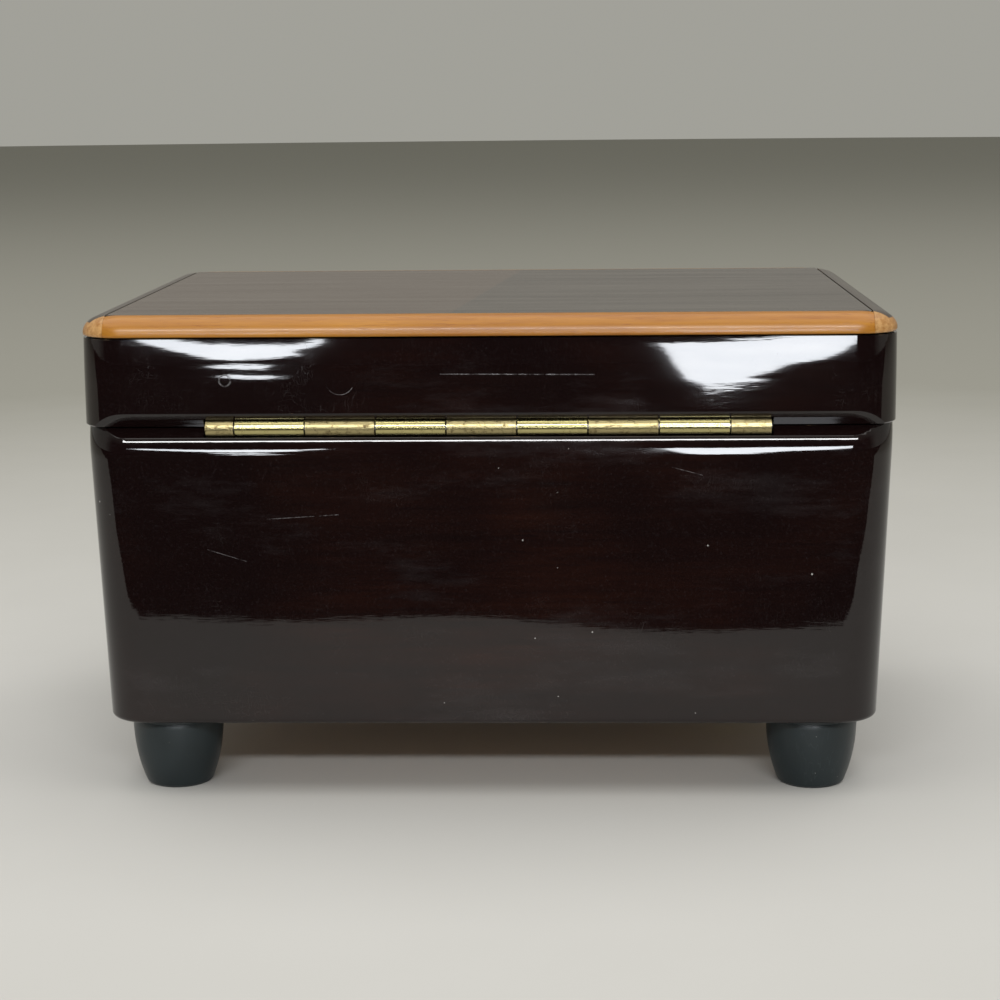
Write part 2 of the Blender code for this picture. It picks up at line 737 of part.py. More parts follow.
def make_feet():
    """Four turned feet, narrowing to the floor on a convex curve, each with a tenon."""
    top = FOOT_HEIGHT - PIECE_GAP
    profile = [
        (0, top + PIECE_GAP + FOOT_TENON_LENGTH),
        (FOOT_TENON_RADIUS, top + PIECE_GAP + FOOT_TENON_LENGTH),
        (FOOT_TENON_RADIUS, top),
    ]
    for ring in range(FOOT_RINGS + 1):
        height_share = 1 - math.sqrt(ring / FOOT_RINGS)
        fall = (FOOT_TOP_RADIUS - FOOT_FLOOR_RADIUS) * (1 - height_share) ** FOOT_CURVE_POWER
        profile.append((FOOT_TOP_RADIUS - fall, top * height_share))
    profile.append((0, 0))
    for front, y in (("front", -FOOT_Y), ("rear", FOOT_Y)):
        for side, x in (("left", -FOOT_X), ("right", FOOT_X)):
            foot = turned(f"foot_{front}_{side}", profile, (x, y, 0), FOOT_PAINT, FOOT_STEPS)
            shade_round(foot)


def screw_places():
    """The three holes that hold the bedplate: two at its left corners, one at its front right."""
    near_y = BED_WIDTH / 2 - BED_SCREW_INSET
    left, right = BED_LEFT + BED_SCREW_INSET, BED_RIGHT - BED_SCREW_INSET
    return [(left, -near_y), (left, near_y), (right, -near_y)]


def make_bottom():
    panel = box("bottom_panel", (-FIT_X, -FIT_Y, FOOT_HEIGHT), (FIT_X, FIT_Y, FLOOR_Z), BARE_WOOD)
    through = BOTTOM_THICKNESS + 2 * CUT_RUN
    low_z = FOOT_HEIGHT - CUT_RUN
    cut(panel, cylinder("key_hole", KEY_HOLE_RADIUS, through, (ARBOR_X, 0, low_z), None, helper=True))
    radius = MOVEMENT_SCREW_SHANK + PIECE_GAP
    for x, y in screw_places():
        cut(panel, cylinder("panel_screw_hole", radius, through, (x, y, low_z), None, helper=True))
    radius = FOOT_TENON_RADIUS + PIECE_GAP
    for x in (-FOOT_X, FOOT_X):
        for y in (-FOOT_Y, FOOT_Y):
            place = (x, y, low_z)
            hole = cylinder("tenon_hole", radius, through, place, None, sides=FOOT_STEPS, helper=True)
            cut(panel, hole)


def make_inside():
    """The partition, the storage side's linings, and the clear cover on its two ledges."""
    right = BAY_RIGHT + PARTITION_THICKNESS
    box("partition", (BAY_RIGHT, -FIT_Y, STAND_Z), (right, FIT_Y, PARTITION_TOP), BARE_WOOD)
    store_left = right + PIECE_GAP
    pad_top = STAND_Z + PAD_THICKNESS
    box("storage_floor_pad", (store_left, -FIT_Y, STAND_Z), (FIT_X, FIT_Y, pad_top), VELVET)
    low_z = pad_top + PIECE_GAP
    high_z = BASE_TOP_Z - LINING_DROP
    skin_y = FIT_Y - LINING_THICKNESS
    box("storage_lining_rear", (store_left, skin_y, low_z), (FIT_X, FIT_Y, high_z), VELVET)
    box("storage_lining_front", (store_left, -FIT_Y, low_z), (FIT_X, -skin_y, high_z), VELVET)
    end_y = skin_y - PIECE_GAP
    skin_x = FIT_X - LINING_THICKNESS
    box("storage_lining_right", (skin_x, -end_y, low_z), (FIT_X, end_y, high_z), VELVET)
    box(
        "storage_lining_left",
        (store_left, -end_y, low_z),
        (store_left + LINING_THICKNESS, end_y, PARTITION_TOP),
        VELVET,
    )
    bay_end = BAY_RIGHT - PIECE_GAP
    ledge_top = COVER_Z - PIECE_GAP
    ledge_low = ledge_top - LEDGE_HEIGHT
    ledge_y = FIT_Y - LEDGE_DEPTH
    box("cover_ledge_rear", (-FIT_X, ledge_y, ledge_low), (bay_end, FIT_Y, ledge_top), BARE_WOOD)
    box("cover_ledge_front", (-FIT_X, -FIT_Y, ledge_low), (bay_end, -ledge_y, ledge_top), BARE_WOOD)
    cover_top = COVER_Z + COVER_THICKNESS
    cover = box("movement_cover", (-FIT_X, -FIT_Y, COVER_Z), (bay_end, FIT_Y, cover_top), CLEAR)
    low_z = COVER_Z - CUT_RUN
    through = COVER_THICKNESS + 2 * CUT_RUN
    inset = FINGER_HOLE_IN + FINGER_HOLE_RADIUS
    finger = (inset - FIT_X, inset - FIT_Y, low_z)
    sides = 2 * ROUND_SIDES
    cut(cover, cylinder("finger_hole", FINGER_HOLE_RADIUS, through, finger, None, sides=sides, helper=True))
    wire = (WORM_X, WIRE_Y, low_z)
    cut(cover, cylinder("cover_wire_hole", WIRE_HOLE_RADIUS, through, wire, None, helper=True))


def make_bedplate():
    """A cast plate with a raised block for the comb."""
    bm = bmesh.new()
    bmesh.ops.create_cube(bm, size=1)
    bmesh.ops.scale(bm, vec=(BED_RIGHT - BED_LEFT, BED_WIDTH, BED_THICKNESS), verts=bm.verts)
    upright = [e for e in bm.edges if e.verts[0].co.z * e.verts[1].co.z < 0]
    round_edges(bm, upright, BED_CORNER, BED_CORNER_SEGMENTS)
    bed = add("bedplate", mesh_from(bm, "bedplate"), ZINC)
    bed.location = ((BED_LEFT + BED_RIGHT) / 2, 0, STAND_Z + BED_THICKNESS / 2)
    block_top = CYLINDER_Z - COMB_THICKNESS / 2 - PIECE_GAP
    block_low = BED_TOP - BED_THICKNESS / 2
    back_y = comb_tip_y() - COMB_TOOTH_LONG
    block = box(
        "comb_block",
        (CYLINDER_X, back_y - COMB_HEEL, block_low),
        (CYLINDER_END, back_y - PIECE_GAP, block_top),
        None,
        helper=True,
    )
    join(bed, block)
    low_z = STAND_Z - CUT_RUN
    through = BED_THICKNESS + 2 * CUT_RUN
    cut(bed, cylinder("bed_arbor_hole", ARBOR_BORE_RADIUS, through, (ARBOR_X, 0, low_z), None, helper=True))
    for index, (x, y) in enumerate(screw_places()):
        radius = MOVEMENT_SCREW_SHANK + PIECE_GAP
        cut(bed, cylinder(f"bed_screw_hole_{index}", radius, through, (x, y, low_z), None, helper=True))
    for index, x in enumerate(comb_screw_xs()):
        depth = COMB_SCREW_LENGTH + COMB_SCREW_RADIUS
        hole = cylinder(
            f"comb_block_hole_{index}",
            COMB_SCREW_RADIUS + PIECE_GAP,
            depth + CUT_RUN,
            (x, comb_screw_y(), block_top - depth),
            None,
            helper=True,
        )
        cut(bed, hole)


def comb_tip_y():
    return -(CYLINDER_RADIUS + PIN_HEIGHT + COMB_TIP_GAP)


def comb_screw_y():
    return comb_tip_y() - COMB_TOOTH_LONG - COMB_HEEL / 2


def comb_screw_xs():
    middle = CYLINDER_X + CYLINDER_LENGTH / 2
    return middle - COMB_SCREW_OUT, middle + COMB_SCREW_OUT


def make_comb():
    """A steel comb with one tooth for each note, longer at the bass end, and its two screws."""
    tip = comb_tip_y()
    back = tip - COMB_TOOTH_LONG - COMB_HEEL
    pitch = CYLINDER_LENGTH / NOTE_COUNT
    outline = [(CYLINDER_X, back), (CYLINDER_X, tip)]
    for note in range(1, NOTE_COUNT):
        middle = CYLINDER_X + pitch * note
        length = COMB_TOOTH_LONG + (COMB_TOOTH_SHORT - COMB_TOOTH_LONG) * note / NOTE_COUNT
        left, right = middle - COMB_SLOT / 2, middle + COMB_SLOT / 2
        outline += [(left, tip), (left, tip - length), (right, tip - length), (right, tip)]
    outline += [(CYLINDER_END, tip), (CYLINDER_END, back)]
    holes = [circle(COMB_SCREW_RADIUS + PIECE_GAP, (x, comb_screw_y())) for x in comb_screw_xs()]
    low_z = CYLINDER_Z - COMB_THICKNESS / 2
    flat("comb", [outline, *holes], (0, 0, low_z), COMB_THICKNESS, STEEL)
    top = low_z + COMB_THICKNESS + PIECE_GAP
    shank = COMB_SCREW_LENGTH + COMB_THICKNESS + PIECE_GAP
    profile = [
        (0, COMB_SCREW_HEAD_HEIGHT),
        (COMB_SCREW_HEAD * COMB_HEAD_FLAT_SHARE, COMB_SCREW_HEAD_HEIGHT),
        (COMB_SCREW_HEAD, COMB_SCREW_HEAD_HEIGHT / 2),
        (COMB_SCREW_HEAD, 0),
        (COMB_SCREW_RADIUS, 0),
        (COMB_SCREW_RADIUS, -shank),
        (0, -shank),
    ]
    for side, x in zip(("left", "right"), comb_screw_xs()):
        turned(f"comb_screw_{side}", profile, (x, comb_screw_y(), top), STEEL)


def make_movement_screws():
    """Three round-headed screws up through the bottom panel into the bedplate."""
    grip = BOTTOM_THICKNESS + PIECE_GAP + MOVEMENT_SCREW_BITE
    profile = [
        (0, grip),
        (MOVEMENT_SCREW_SHANK, grip),
        (MOVEMENT_SCREW_SHANK, -PIECE_GAP),
        (MOVEMENT_SCREW_HEAD, -PIECE_GAP),
        (MOVEMENT_SCREW_HEAD, -PIECE_GAP - MOVEMENT_SCREW_HEAD_HEIGHT / 2),
        (MOVEMENT_SCREW_HEAD * MOVEMENT_HEAD_FLAT_SHARE, -PIECE_GAP - MOVEMENT_SCREW_HEAD_HEIGHT),
        (0, -PIECE_GAP - MOVEMENT_SCREW_HEAD_HEIGHT),
    ]
    for index, (x, y) in enumerate(screw_places()):
        turned(f"movement_screw_{index + 1}", profile, (x, y, FOOT_HEIGHT), STEEL)


def make_spring():
    """The barrel's open cup, and the spring wound inside it."""
    outer, wall = BARREL_CUP_RADIUS, BARREL_CUP_WALL
    profile = [
        (outer, BARREL_CUP_HEIGHT),
        (outer, 0),
        (ARBOR_BORE_RADIUS, 0),
        (ARBOR_BORE_RADIUS, wall),
        (outer - wall, wall),
        (outer - wall, BARREL_CUP_HEIGHT),
    ]
    turned("spring_barrel", profile, (ARBOR_X, 0, DECK_Z), BRASS, 2 * ROUND_SIDES, ring=True)
    first = ARBOR_RADIUS + SPRING_SIDE_GAP
    last = outer - wall - SPRING_SIDE_GAP
    bm = bmesh.new()
    count = SPRING_TURNS * SPRING_STEPS
    points = []
    for index in range(count + 1):
        radius = first + (last - first) * index / count
        angle = 2 * math.pi * index / SPRING_STEPS
        points.append(bm.verts.new((radius * math.cos(angle), radius * math.sin(angle), 0)))
    edges = [bm.edges.new(pair) for pair in zip(points, points[1:])]
    raised = bmesh.ops.extrude_edge_only(bm, edges=edges)["geom"]
    height = BARREL_CUP_HEIGHT - wall - 2 * SPRING_SIDE_GAP
    upper = [part for part in raised if isinstance(part, bmesh.types.BMVert)]
    bmesh.ops.translate(bm, verts=upper, vec=(0, 0, height))
    spring = add("mainspring", mesh_from(bm, "mainspring"), STEEL)
    spring.location = (ARBOR_X, 0, DECK_Z + wall + PIECE_GAP)
    strip = spring.modifiers.new("strip", "SOLIDIFY")
    strip.thickness = SPRING_THICKNESS
    strip.offset = 0


def make_winding():
    """The winding arbor, the crown-toothed great wheel on its top and the key on its lower end."""
    hold_z = FOOT_HEIGHT - KEY_DROP - KEY_HOLD
    arbor_top = WHEEL_TOP + WHEEL_HUB_HEIGHT
    arbor = cylinder("winding_arbor", ARBOR_RADIUS, arbor_top - hold_z, (ARBOR_X, 0, hold_z), STEEL)
    profile = [
        (WHEEL_HUB_RADIUS, WHEEL_HUB_HEIGHT + WHEEL_THICKNESS),
        (WHEEL_HUB_RADIUS, WHEEL_THICKNESS),
        (WHEEL_RADIUS, WHEEL_THICKNESS),
        (WHEEL_RADIUS, 0),
        (ARBOR_BORE_RADIUS, 0),
        (ARBOR_BORE_RADIUS, WHEEL_HUB_HEIGHT + WHEEL_THICKNESS),
    ]
    wheel = turned("great_wheel", profile, (ARBOR_X, 0, WHEEL_Z), BRASS, WHEEL_TEETH, ring=True)
    join(wheel, crown_teeth())
    key_top = FOOT_HEIGHT - KEY_DROP
    profile = [
        (ARBOR_BORE_RADIUS, 0),
        (KEY_COLLAR_RADIUS, 0),
        (KEY_COLLAR_RADIUS, -KEY_COLLAR_HEIGHT),
        (0, -KEY_COLLAR_HEIGHT),
        (0, -KEY_HOLD - PIECE_GAP),
        (ARBOR_BORE_RADIUS, -KEY_HOLD - PIECE_GAP),
    ]
    key = turned("winding_key", profile, (ARBOR_X, 0, key_top), BRASS, ring=True)
    collar_floor = KEY_COLLAR_HEIGHT - KEY_HOLD - PIECE_GAP
    join(key, key_wing(key_top - KEY_COLLAR_HEIGHT + collar_floor / 2))
    return arbor, wheel, key


def key_wing(top):
    """The key's flat grip, a plate with rounded corners that hangs from the collar's floor."""
    low = -KEY_WING_HEIGHT
    corner_x = KEY_WING_WIDTH / 2 - KEY_WING_ROUND
    corner_z = low + KEY_WING_ROUND
    turns = [QUARTER * step / KEY_WING_STEPS for step in range(KEY_WING_STEPS + 1)]
    right = [
        (corner_x + KEY_WING_ROUND * math.sin(t), corner_z - KEY_WING_ROUND * math.cos(t)) for t in turns
    ]
    right += [(x, low - y) for x, y in reversed(right)]
    outline = right + [(-x, y) for x, y in reversed(right)]
    wing = flat("key_wing", [outline], (0, 0, 0), KEY_WING_THICKNESS, None)
    wing.rotation_euler = (QUARTER, 0, 0)
    wing.location = (ARBOR_X, 0, top)
    return as_mesh(wing, helper=True)


def crown_teeth():
    """Teeth that stand up from the great wheel's rim, with a gap towards +X."""
    bm = bmesh.new()
    pitch = 2 * math.pi / WHEEL_TEETH
    width = pitch * CROWN_RADIUS
    sink = WHEEL_THICKNESS / 2
    height = CROWN_Z + CROWN_MODULE * ADDENDUM_SHARE - WHEEL_TOP
    flare = (ROOT_HALF_SHARE - TIP_HALF_SHARE) / height
    for index in range(WHEEL_TEETH):
        made = bmesh.ops.create_cube(bm, size=1)["verts"]
        for vert in made:
            upper = vert.co.z > 0
            share = TIP_HALF_SHARE if upper else ROOT_HALF_SHARE + flare * sink
            vert.co = (
                vert.co.x * WHEEL_TOOTH_LENGTH,
                vert.co.y * 2 * width * share,
                height if upper else -sink,
            )
        turn = Matrix.Rotation(pitch * (index + 0.5), 4, "Z") @ Matrix.Translation((CROWN_RADIUS, 0, 0))
        bmesh.ops.transform(bm, matrix=turn, verts=made)
    teeth = add("crown_teeth", mesh_from(bm, "crown_teeth"), None, helper=True)
    teeth.location = (ARBOR_X, 0, WHEEL_TOP)
    return teeth


def make_cylinder():
    """The pinned cylinder and its gear, on an arbor with its pinion cut in one piece."""
    bore = circle(CYLINDER_BORE_RADIUS)
    barrel = flat(
        "cylinder",
        [circle(CYLINDER_RADIUS, sides=CYLINDER_SIDES), bore],
        (CYLINDER_X, 0, CYLINDER_Z),
        CYLINDER_LENGTH,
        BRASS,
        along_x=True,
    )
    barrel = as_mesh(barrel)
    join(barrel, cylinder_pins())
    gear = flat(
        "cylinder_gear",
        [gear_outline(CYLINDER_GEAR_TEETH, CYLINDER_GEAR_RADIUS, -GOVERNOR_DROP), bore],
        (GEAR_X, 0, CYLINDER_Z),
        CYLINDER_GEAR_WIDTH,
        BRASS,
        along_x=True,
    )
    arbor = cylinder(
        "cylinder_arbor",
        CYLINDER_ARBOR_RADIUS,
        GEAR_END - PINION_X,
        (PINION_X, 0, CYLINDER_Z),
        STEEL,
        along_x=True,
    )
    pinion = flat(
        "cylinder_pinion",
        [gear_outline(CYLINDER_PINION_TEETH, CYLINDER_PINION_RADIUS, -QUARTER)],
        (PINION_X, 0, CYLINDER_Z),
        BEARING_LEFT_X - PIECE_GAP - PINION_X,
        None,
        along_x=True,
    )
    join(arbor, as_mesh(pinion, helper=True))
    return barrel, gear, arbor


def cylinder_pins():
    """One short pin for each golden-angle step, shared out over the notes' tracks."""
    bm = bmesh.new()
    pitch = CYLINDER_LENGTH / NOTE_COUNT
    sink = CYLINDER_RADIUS * (1 - math.cos(math.pi / CYLINDER_SIDES)) + PIN_HEIGHT / 2
    for index in range(PIN_COUNT):
        track = index % NOTE_COUNT
        place = Matrix.Translation((0, 0, pitch * (track + 0.5)))
        turn = Matrix.Rotation(GOLDEN_ANGLE * index, 4, "Z")
        out = Matrix.Translation((CYLINDER_RADIUS + (PIN_HEIGHT - sink) / 2, 0, 0))
        size = Matrix.Diagonal((PIN_HEIGHT + sink, PIN_WIDTH, PIN_WIDTH, 1))
        bmesh.ops.create_cube(bm, size=1, matrix=place @ turn @ out @ size)
    pins = add("cylinder_pins", mesh_from(bm, "cylinder_pins"), None, helper=True)
    pins.location = (CYLINDER_X, 0, CYLINDER_Z)
    pins.rotation_euler = ALONG_X
    return pins


def make_bearings():
    """Two upright plates that carry the cylinder's arbor. The right one carries the governor's axle too."""
    low = DECK_Z
    high = CYLINDER_Z + BEARING_RISE
    bore = circle(CYLINDER_BORE_RADIUS, (0, CYLINDER_Z))
    plate = rectangle((-BEARING_HALF_WIDTH, low), (BEARING_HALF_WIDTH, high))
    flat("bearing_left", [plate, bore], (BEARING_LEFT_X, 0, 0), BEARING_THICKNESS, BRASS, along_x=True)
    shoulder_y = GOVERNOR_Y + BEARING_RISE
    shoulder_z = GOVERNOR_Z + BEARING_RISE
    plate = [
        (-BEARING_HALF_WIDTH, low),
        (shoulder_y, low),
        (shoulder_y, shoulder_z),
        (BEARING_HALF_WIDTH, high),
        (-BEARING_HALF_WIDTH, high),
    ]
    axle_hole = circle(GOVERNOR_BORE_RADIUS, (GOVERNOR_Y, GOVERNOR_Z))
    outlines = [plate, bore, axle_hole]
    flat("bearing_right", outlines, (BEARING_RIGHT_X, 0, 0), BEARING_THICKNESS, BRASS, along_x=True)


def make_governor_wheel():
    """The worm wheel and its pinion, moulded in one, on a thin steel axle."""
    wheel = flat(
        "governor_wheel",
        [gear_outline(WORM_WHEEL_TEETH, WORM_WHEEL_RADIUS, 0)],
        (WORM_WHEEL_X, GOVERNOR_Y, GOVERNOR_Z),
        WORM_WHEEL_WIDTH,
        NYLON,
        along_x=True,
    )
    facing = math.pi - GOVERNOR_DROP
    half_tooth = math.pi / GOVERNOR_PINION_TEETH
    pinion = flat(
        "governor_pinion",
        [gear_outline(GOVERNOR_PINION_TEETH, GOVERNOR_PINION_RADIUS, facing + half_tooth)],
        (GEAR_X, GOVERNOR_Y, GOVERNOR_Z),
        WORM_WHEEL_X + WORM_WHEEL_WIDTH / 2 - GEAR_X,
        None,
        along_x=True,
    )
    wheel = as_mesh(wheel)
    join(wheel, as_mesh(pinion, helper=True))
    bore = cylinder(
        "governor_wheel_bore",
        GOVERNOR_BORE_RADIUS,
        WORM_WHEEL_X + WORM_WHEEL_WIDTH - GEAR_X + 2 * CUT_RUN,
        (GEAR_X - CUT_RUN, GOVERNOR_Y, GOVERNOR_Z),
        None,
        along_x=True,
        helper=True,
    )
    cut(wheel, bore)
    axle = cylinder(
        "governor_axle",
        GOVERNOR_AXLE_RADIUS,
        GOVERNOR_PLATE_X + GOVERNOR_PLATE - BEARING_RIGHT_X,
        (BEARING_RIGHT_X, GOVERNOR_Y, GOVERNOR_Z),
        STEEL,
        along_x=True,
    )
    return wheel, axle


def make_worm():
    """The upright worm shaft, a right-handed thread on it, and the air fly on its top."""
    shaft_top = FLY_Z + FLY_HEIGHT
    shaft = cylinder("worm_shaft", WORM_SHAFT_RADIUS, shaft_top - DECK_Z, (WORM_X, WORM_Y, DECK_Z), STEEL)
    half_length = WORM_PITCH * WORM_TURNS / 2
    core_half = half_length + WORM_THREAD_RADIUS
    core = cylinder(
        "worm_core",
        WORM_CORE_RADIUS,
        2 * core_half,
        (WORM_X, WORM_Y, GOVERNOR_Z - core_half),
        None,
        helper=True,
    )
    route = []
    for index in range(WORM_TURNS * WORM_STEPS + 1):
        angle = 2 * math.pi * index / WORM_STEPS - QUARTER + math.pi
        height = WORM_PITCH * index / WORM_STEPS - half_length
        route.append((WORM_THREAD_OUT * math.cos(angle), WORM_THREAD_OUT * math.sin(angle), height))
    thread = tube("worm_thread", route, WORM_THREAD_RADIUS, None)
    thread.location = (WORM_X, WORM_Y, GOVERNOR_Z)
    join(shaft, core, as_mesh(thread, helper=True))
    fly = box(
        "air_fly",
        (WORM_X - FLY_RADIUS, WORM_Y - FLY_THICKNESS / 2, FLY_Z),
        (WORM_X + FLY_RADIUS, WORM_Y + FLY_THICKNESS / 2, shaft_top),
        STEEL,
    )
    hub = cylinder("fly_hub", FLY_HUB_RADIUS, FLY_HEIGHT / 2, (WORM_X, WORM_Y, FLY_Z), None, helper=True)
    join(fly, hub)
    bore = (WORM_X, WORM_Y, FLY_Z - CUT_RUN)
    cut(fly, cylinder("fly_bore", WORM_BORE_RADIUS, FLY_HEIGHT + 2 * CUT_RUN, bore, None, helper=True))
    return shaft, fly


def make_governor_frame():
    """A plate beside the worm wheel, with an arm over it and one under it that hold the worm shaft."""
    plate_end = GOVERNOR_PLATE_X + GOVERNOR_PLATE
    back_y = WIRE_Y + WIRE_HOLE_RADIUS + PIECE_GAP + WIRE_RADIUS
    frame = box(
        "governor_frame",
        (GOVERNOR_PLATE_X, GOVERNOR_Y - BEARING_RISE, DECK_Z),
        (plate_end, back_y, ARM_TOP),
        BRASS,
    )
    arm_x = plate_end - GOVERNOR_ARM_REACH - GOVERNOR_PLATE
    arm_y = WORM_Y - GOVERNOR_ARM_HALF_WIDTH
    upper = box(
        "upper_arm",
        (arm_x, arm_y, ARM_Z),
        (plate_end - GOVERNOR_PLATE / 2, back_y, ARM_TOP),
        None,
        helper=True,
    )
    lower = box(
        "lower_arm",
        (arm_x, arm_y, DECK_Z),
        (plate_end - GOVERNOR_PLATE / 2, back_y, DECK_Z + GOVERNOR_ARM_THICKNESS),
        None,
        helper=True,
    )
    join(frame, upper, lower)
    tall = ARM_TOP - DECK_Z + 2 * CUT_RUN
    low_z = DECK_Z - CUT_RUN
    cut(
        frame,
        cylinder("worm_bore", WORM_BORE_RADIUS, tall, (WORM_X, WORM_Y, low_z), None, helper=True),
        cylinder("wire_bore", WIRE_HOLE_RADIUS, tall, (WORM_X, WIRE_Y, low_z), None, helper=True),
        cylinder(
            "axle_bore",
            GOVERNOR_BORE_RADIUS,
            GOVERNOR_PLATE + 2 * CUT_RUN,
            (GOVERNOR_PLATE_X - CUT_RUN, GOVERNOR_Y, GOVERNOR_Z),
            None,
            along_x=True,
            helper=True,
        ),
    )


def make_stop_wire():
    """A wire that slides in the frame's arm, passes the fly and rises to just under the lid's lining."""
    top = LINING_Z - PIECE_GAP
    jog_low = FLY_Z
    jog_high = FLY_Z + FLY_HEIGHT
    low = ARM_Z - WIRE_LIFT - WIRE_HOLD
    route = [
        (0, WIRE_Y, low),
        (0, WIRE_Y, jog_low),
        (0, JOG_Y, jog_low + WIRE_JOG),
        (0, JOG_Y, jog_high - WIRE_JOG),
        (0, WIRE_Y, jog_high),
        (0, WIRE_Y, top),
    ]
    wire = tube("stop_wire", [(x, y - WIRE_Y, z - low) for x, y, z in route], WIRE_RADIUS, STEEL)
    wire.location = (WORM_X, WIRE_Y, low)
    return wire


def build():
    walls = make_walls()
    rails = make_rails()
    lid_top = make_lid_top()
    lid_hinge_pieces = make_hinge(walls["rear"], rails["rear"])
    lid_pivot = pivot("lid_pivot", (0, HINGE_Y, SEAM_Z))
    hang_on(lid_pivot, *rails.values(), *lid_top, *lid_hinge_pieces)
    make_feet()
    make_bottom()
    make_inside()
    make_bedplate()
    make_comb()
    make_movement_screws()
    make_spring()
    make_bearings()
    make_governor_frame()
    hang_on(pivot("key_pivot", (ARBOR_X, 0, FOOT_HEIGHT)), *make_winding())
    hang_on(pivot("cylinder_pivot", (CYLINDER_X, 0, CYLINDER_Z)), *make_cylinder())
    hang_on(pivot("governor_pivot", (WORM_WHEEL_X, GOVERNOR_Y, GOVERNOR_Z)), *make_governor_wheel())
    hang_on(pivot("worm_pivot", (WORM_X, WORM_Y, GOVERNOR_Z)), *make_worm())
    make_stop_wire()


build()
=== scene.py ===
# %% [markdown]
# # A lacquered music box
# The photograph shows the box from behind: very dark lacquer over wood, a honey-coloured edging
# strip round the lid, a brass piano hinge in a V groove, and dark turned feet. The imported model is
# the fixed frame, and every piece made here rides on one of its bodies.

import json
import math
import random

import bmesh
import bpy
from mathutils import Matrix, Vector


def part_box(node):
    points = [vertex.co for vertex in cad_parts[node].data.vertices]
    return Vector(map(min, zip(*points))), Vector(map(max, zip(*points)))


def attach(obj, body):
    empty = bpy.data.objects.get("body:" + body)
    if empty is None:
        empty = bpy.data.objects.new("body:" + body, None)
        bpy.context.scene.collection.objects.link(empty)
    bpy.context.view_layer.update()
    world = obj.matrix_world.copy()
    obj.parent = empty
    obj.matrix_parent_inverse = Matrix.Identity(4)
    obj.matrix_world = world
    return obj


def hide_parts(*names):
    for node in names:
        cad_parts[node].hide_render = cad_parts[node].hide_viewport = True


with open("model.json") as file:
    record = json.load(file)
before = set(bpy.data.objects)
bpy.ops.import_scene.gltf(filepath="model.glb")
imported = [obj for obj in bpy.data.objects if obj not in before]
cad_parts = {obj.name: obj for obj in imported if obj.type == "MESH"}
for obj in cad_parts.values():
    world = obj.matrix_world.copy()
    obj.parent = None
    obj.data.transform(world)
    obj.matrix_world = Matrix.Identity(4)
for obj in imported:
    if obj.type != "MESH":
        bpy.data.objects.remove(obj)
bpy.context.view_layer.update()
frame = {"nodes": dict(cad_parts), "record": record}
nodes = frame["nodes"]

# %% [markdown]
# ## Sizes
# The same driving sizes as the wooden parts, in metres. Heights are above the table, +Y is the
# hinge side, and every replaced piece is built from these, so that it sits where its solid sits.

# %% Name the sizes
MM = 0.001
FOOT_TOP = 14.0 * MM
SEAM = 69.2 * MM
SEAM_HALF_GAP = 0.15 * MM
BASE_TOP = SEAM - SEAM_HALF_GAP
LID_LOW = SEAM + SEAM_HALF_GAP
RAIL_TOP = 85.3 * MM
STRIP_LOW = 85.6 * MM
TOP = 89.4 * MM
LID_HALF = (73.5 * MM, 55.0 * MM)
BASE_HALF = (73.2 * MM, 54.7 * MM)
LEAN = 2.0 * MM
INNER = (65.2 * MM, 46.7 * MM)
CORNER = 8.0 * MM
CORNER_STEPS = 14
HINGE_Y = 53.0 * MM
BARREL_RADIUS = 1.6 * MM
BARREL_HALF = 50.8 * MM
KNUCKLE_PITCH = 12.7 * MM
FIRST_KNUCKLE = 7.4 * MM
GAP = 0.3 * MM
LEAF_WIDTH = 5.0 * MM
LEAF_THICKNESS = 0.8 * MM
SIDE_STRIP = 4.8 * MM
HINGE_SCREW_X, HINGE_SCREW_Y = 32.0 * MM, 49.55 * MM
HINGE_HEAD, HINGE_SHANK, HINGE_SCREW = 1.05 * MM, 0.60 * MM, 6.0 * MM
SCREW_ROOM = 0.12 * MM
OVERRUN = 4.0 * MM
BEYOND = 80.0 * MM
LEAST_RADIUS = 0.1 * MM
REAR_STRIP = 3.5 * MM
print("lid half sizes", LID_HALF, "top at", TOP)

# %% [markdown]
# ## The camera
# The picture was taken a little above the lid and slightly to one side of the hinge's middle, with
# a long lens. The place, the tilt and the focal length come from fitting a box of these sizes to
# the outline, the hinge's joints and the feet.

# %% Place the camera
CAMERA_PLACE = Vector((-17.5, 466.4, 128.0)) * MM
PITCH, YAW, ROLL = math.radians(9.9), math.radians(-2.13), math.radians(-0.56)
FOCAL_PIXELS = 2330.5
SENSOR_MM, FRAME_PIXELS = 36.0, 1000.0


def camera_turn():
    ahead = Vector((-math.sin(YAW), -math.cos(YAW), 0))
    side = Vector((-math.cos(YAW), math.sin(YAW), 0))
    above = Vector((0, 0, 1))
    forward = ahead * math.cos(PITCH) - above * math.sin(PITCH)
    upward = above * math.cos(PITCH) + ahead * math.sin(PITCH)
    right = side * math.cos(ROLL) + upward * math.sin(ROLL)
    top = upward * math.cos(ROLL) - side * math.sin(ROLL)
    return Matrix((right, top, -forward)).transposed()


eye = bpy.data.cameras.new("camera")
eye.sensor_width = SENSOR_MM
eye.lens = FOCAL_PIXELS / FRAME_PIXELS * SENSOR_MM
eye.clip_start, eye.clip_end = 0.01, 50.0
camera = bpy.data.objects.new("camera", eye)
bpy.context.scene.collection.objects.link(camera)
camera.matrix_world = Matrix.Translation(CAMERA_PLACE) @ camera_turn().to_4x4()
bpy.context.scene.camera = camera
print("camera lens", round(eye.lens, 1), "mm")

# %% [markdown]
# ## Helpers for materials
# Every material is a small tree of nodes. `put` adds one node and wires or sets its inputs, so a
# finish reads as a short list. Effects that several finishes share are groups, built once.

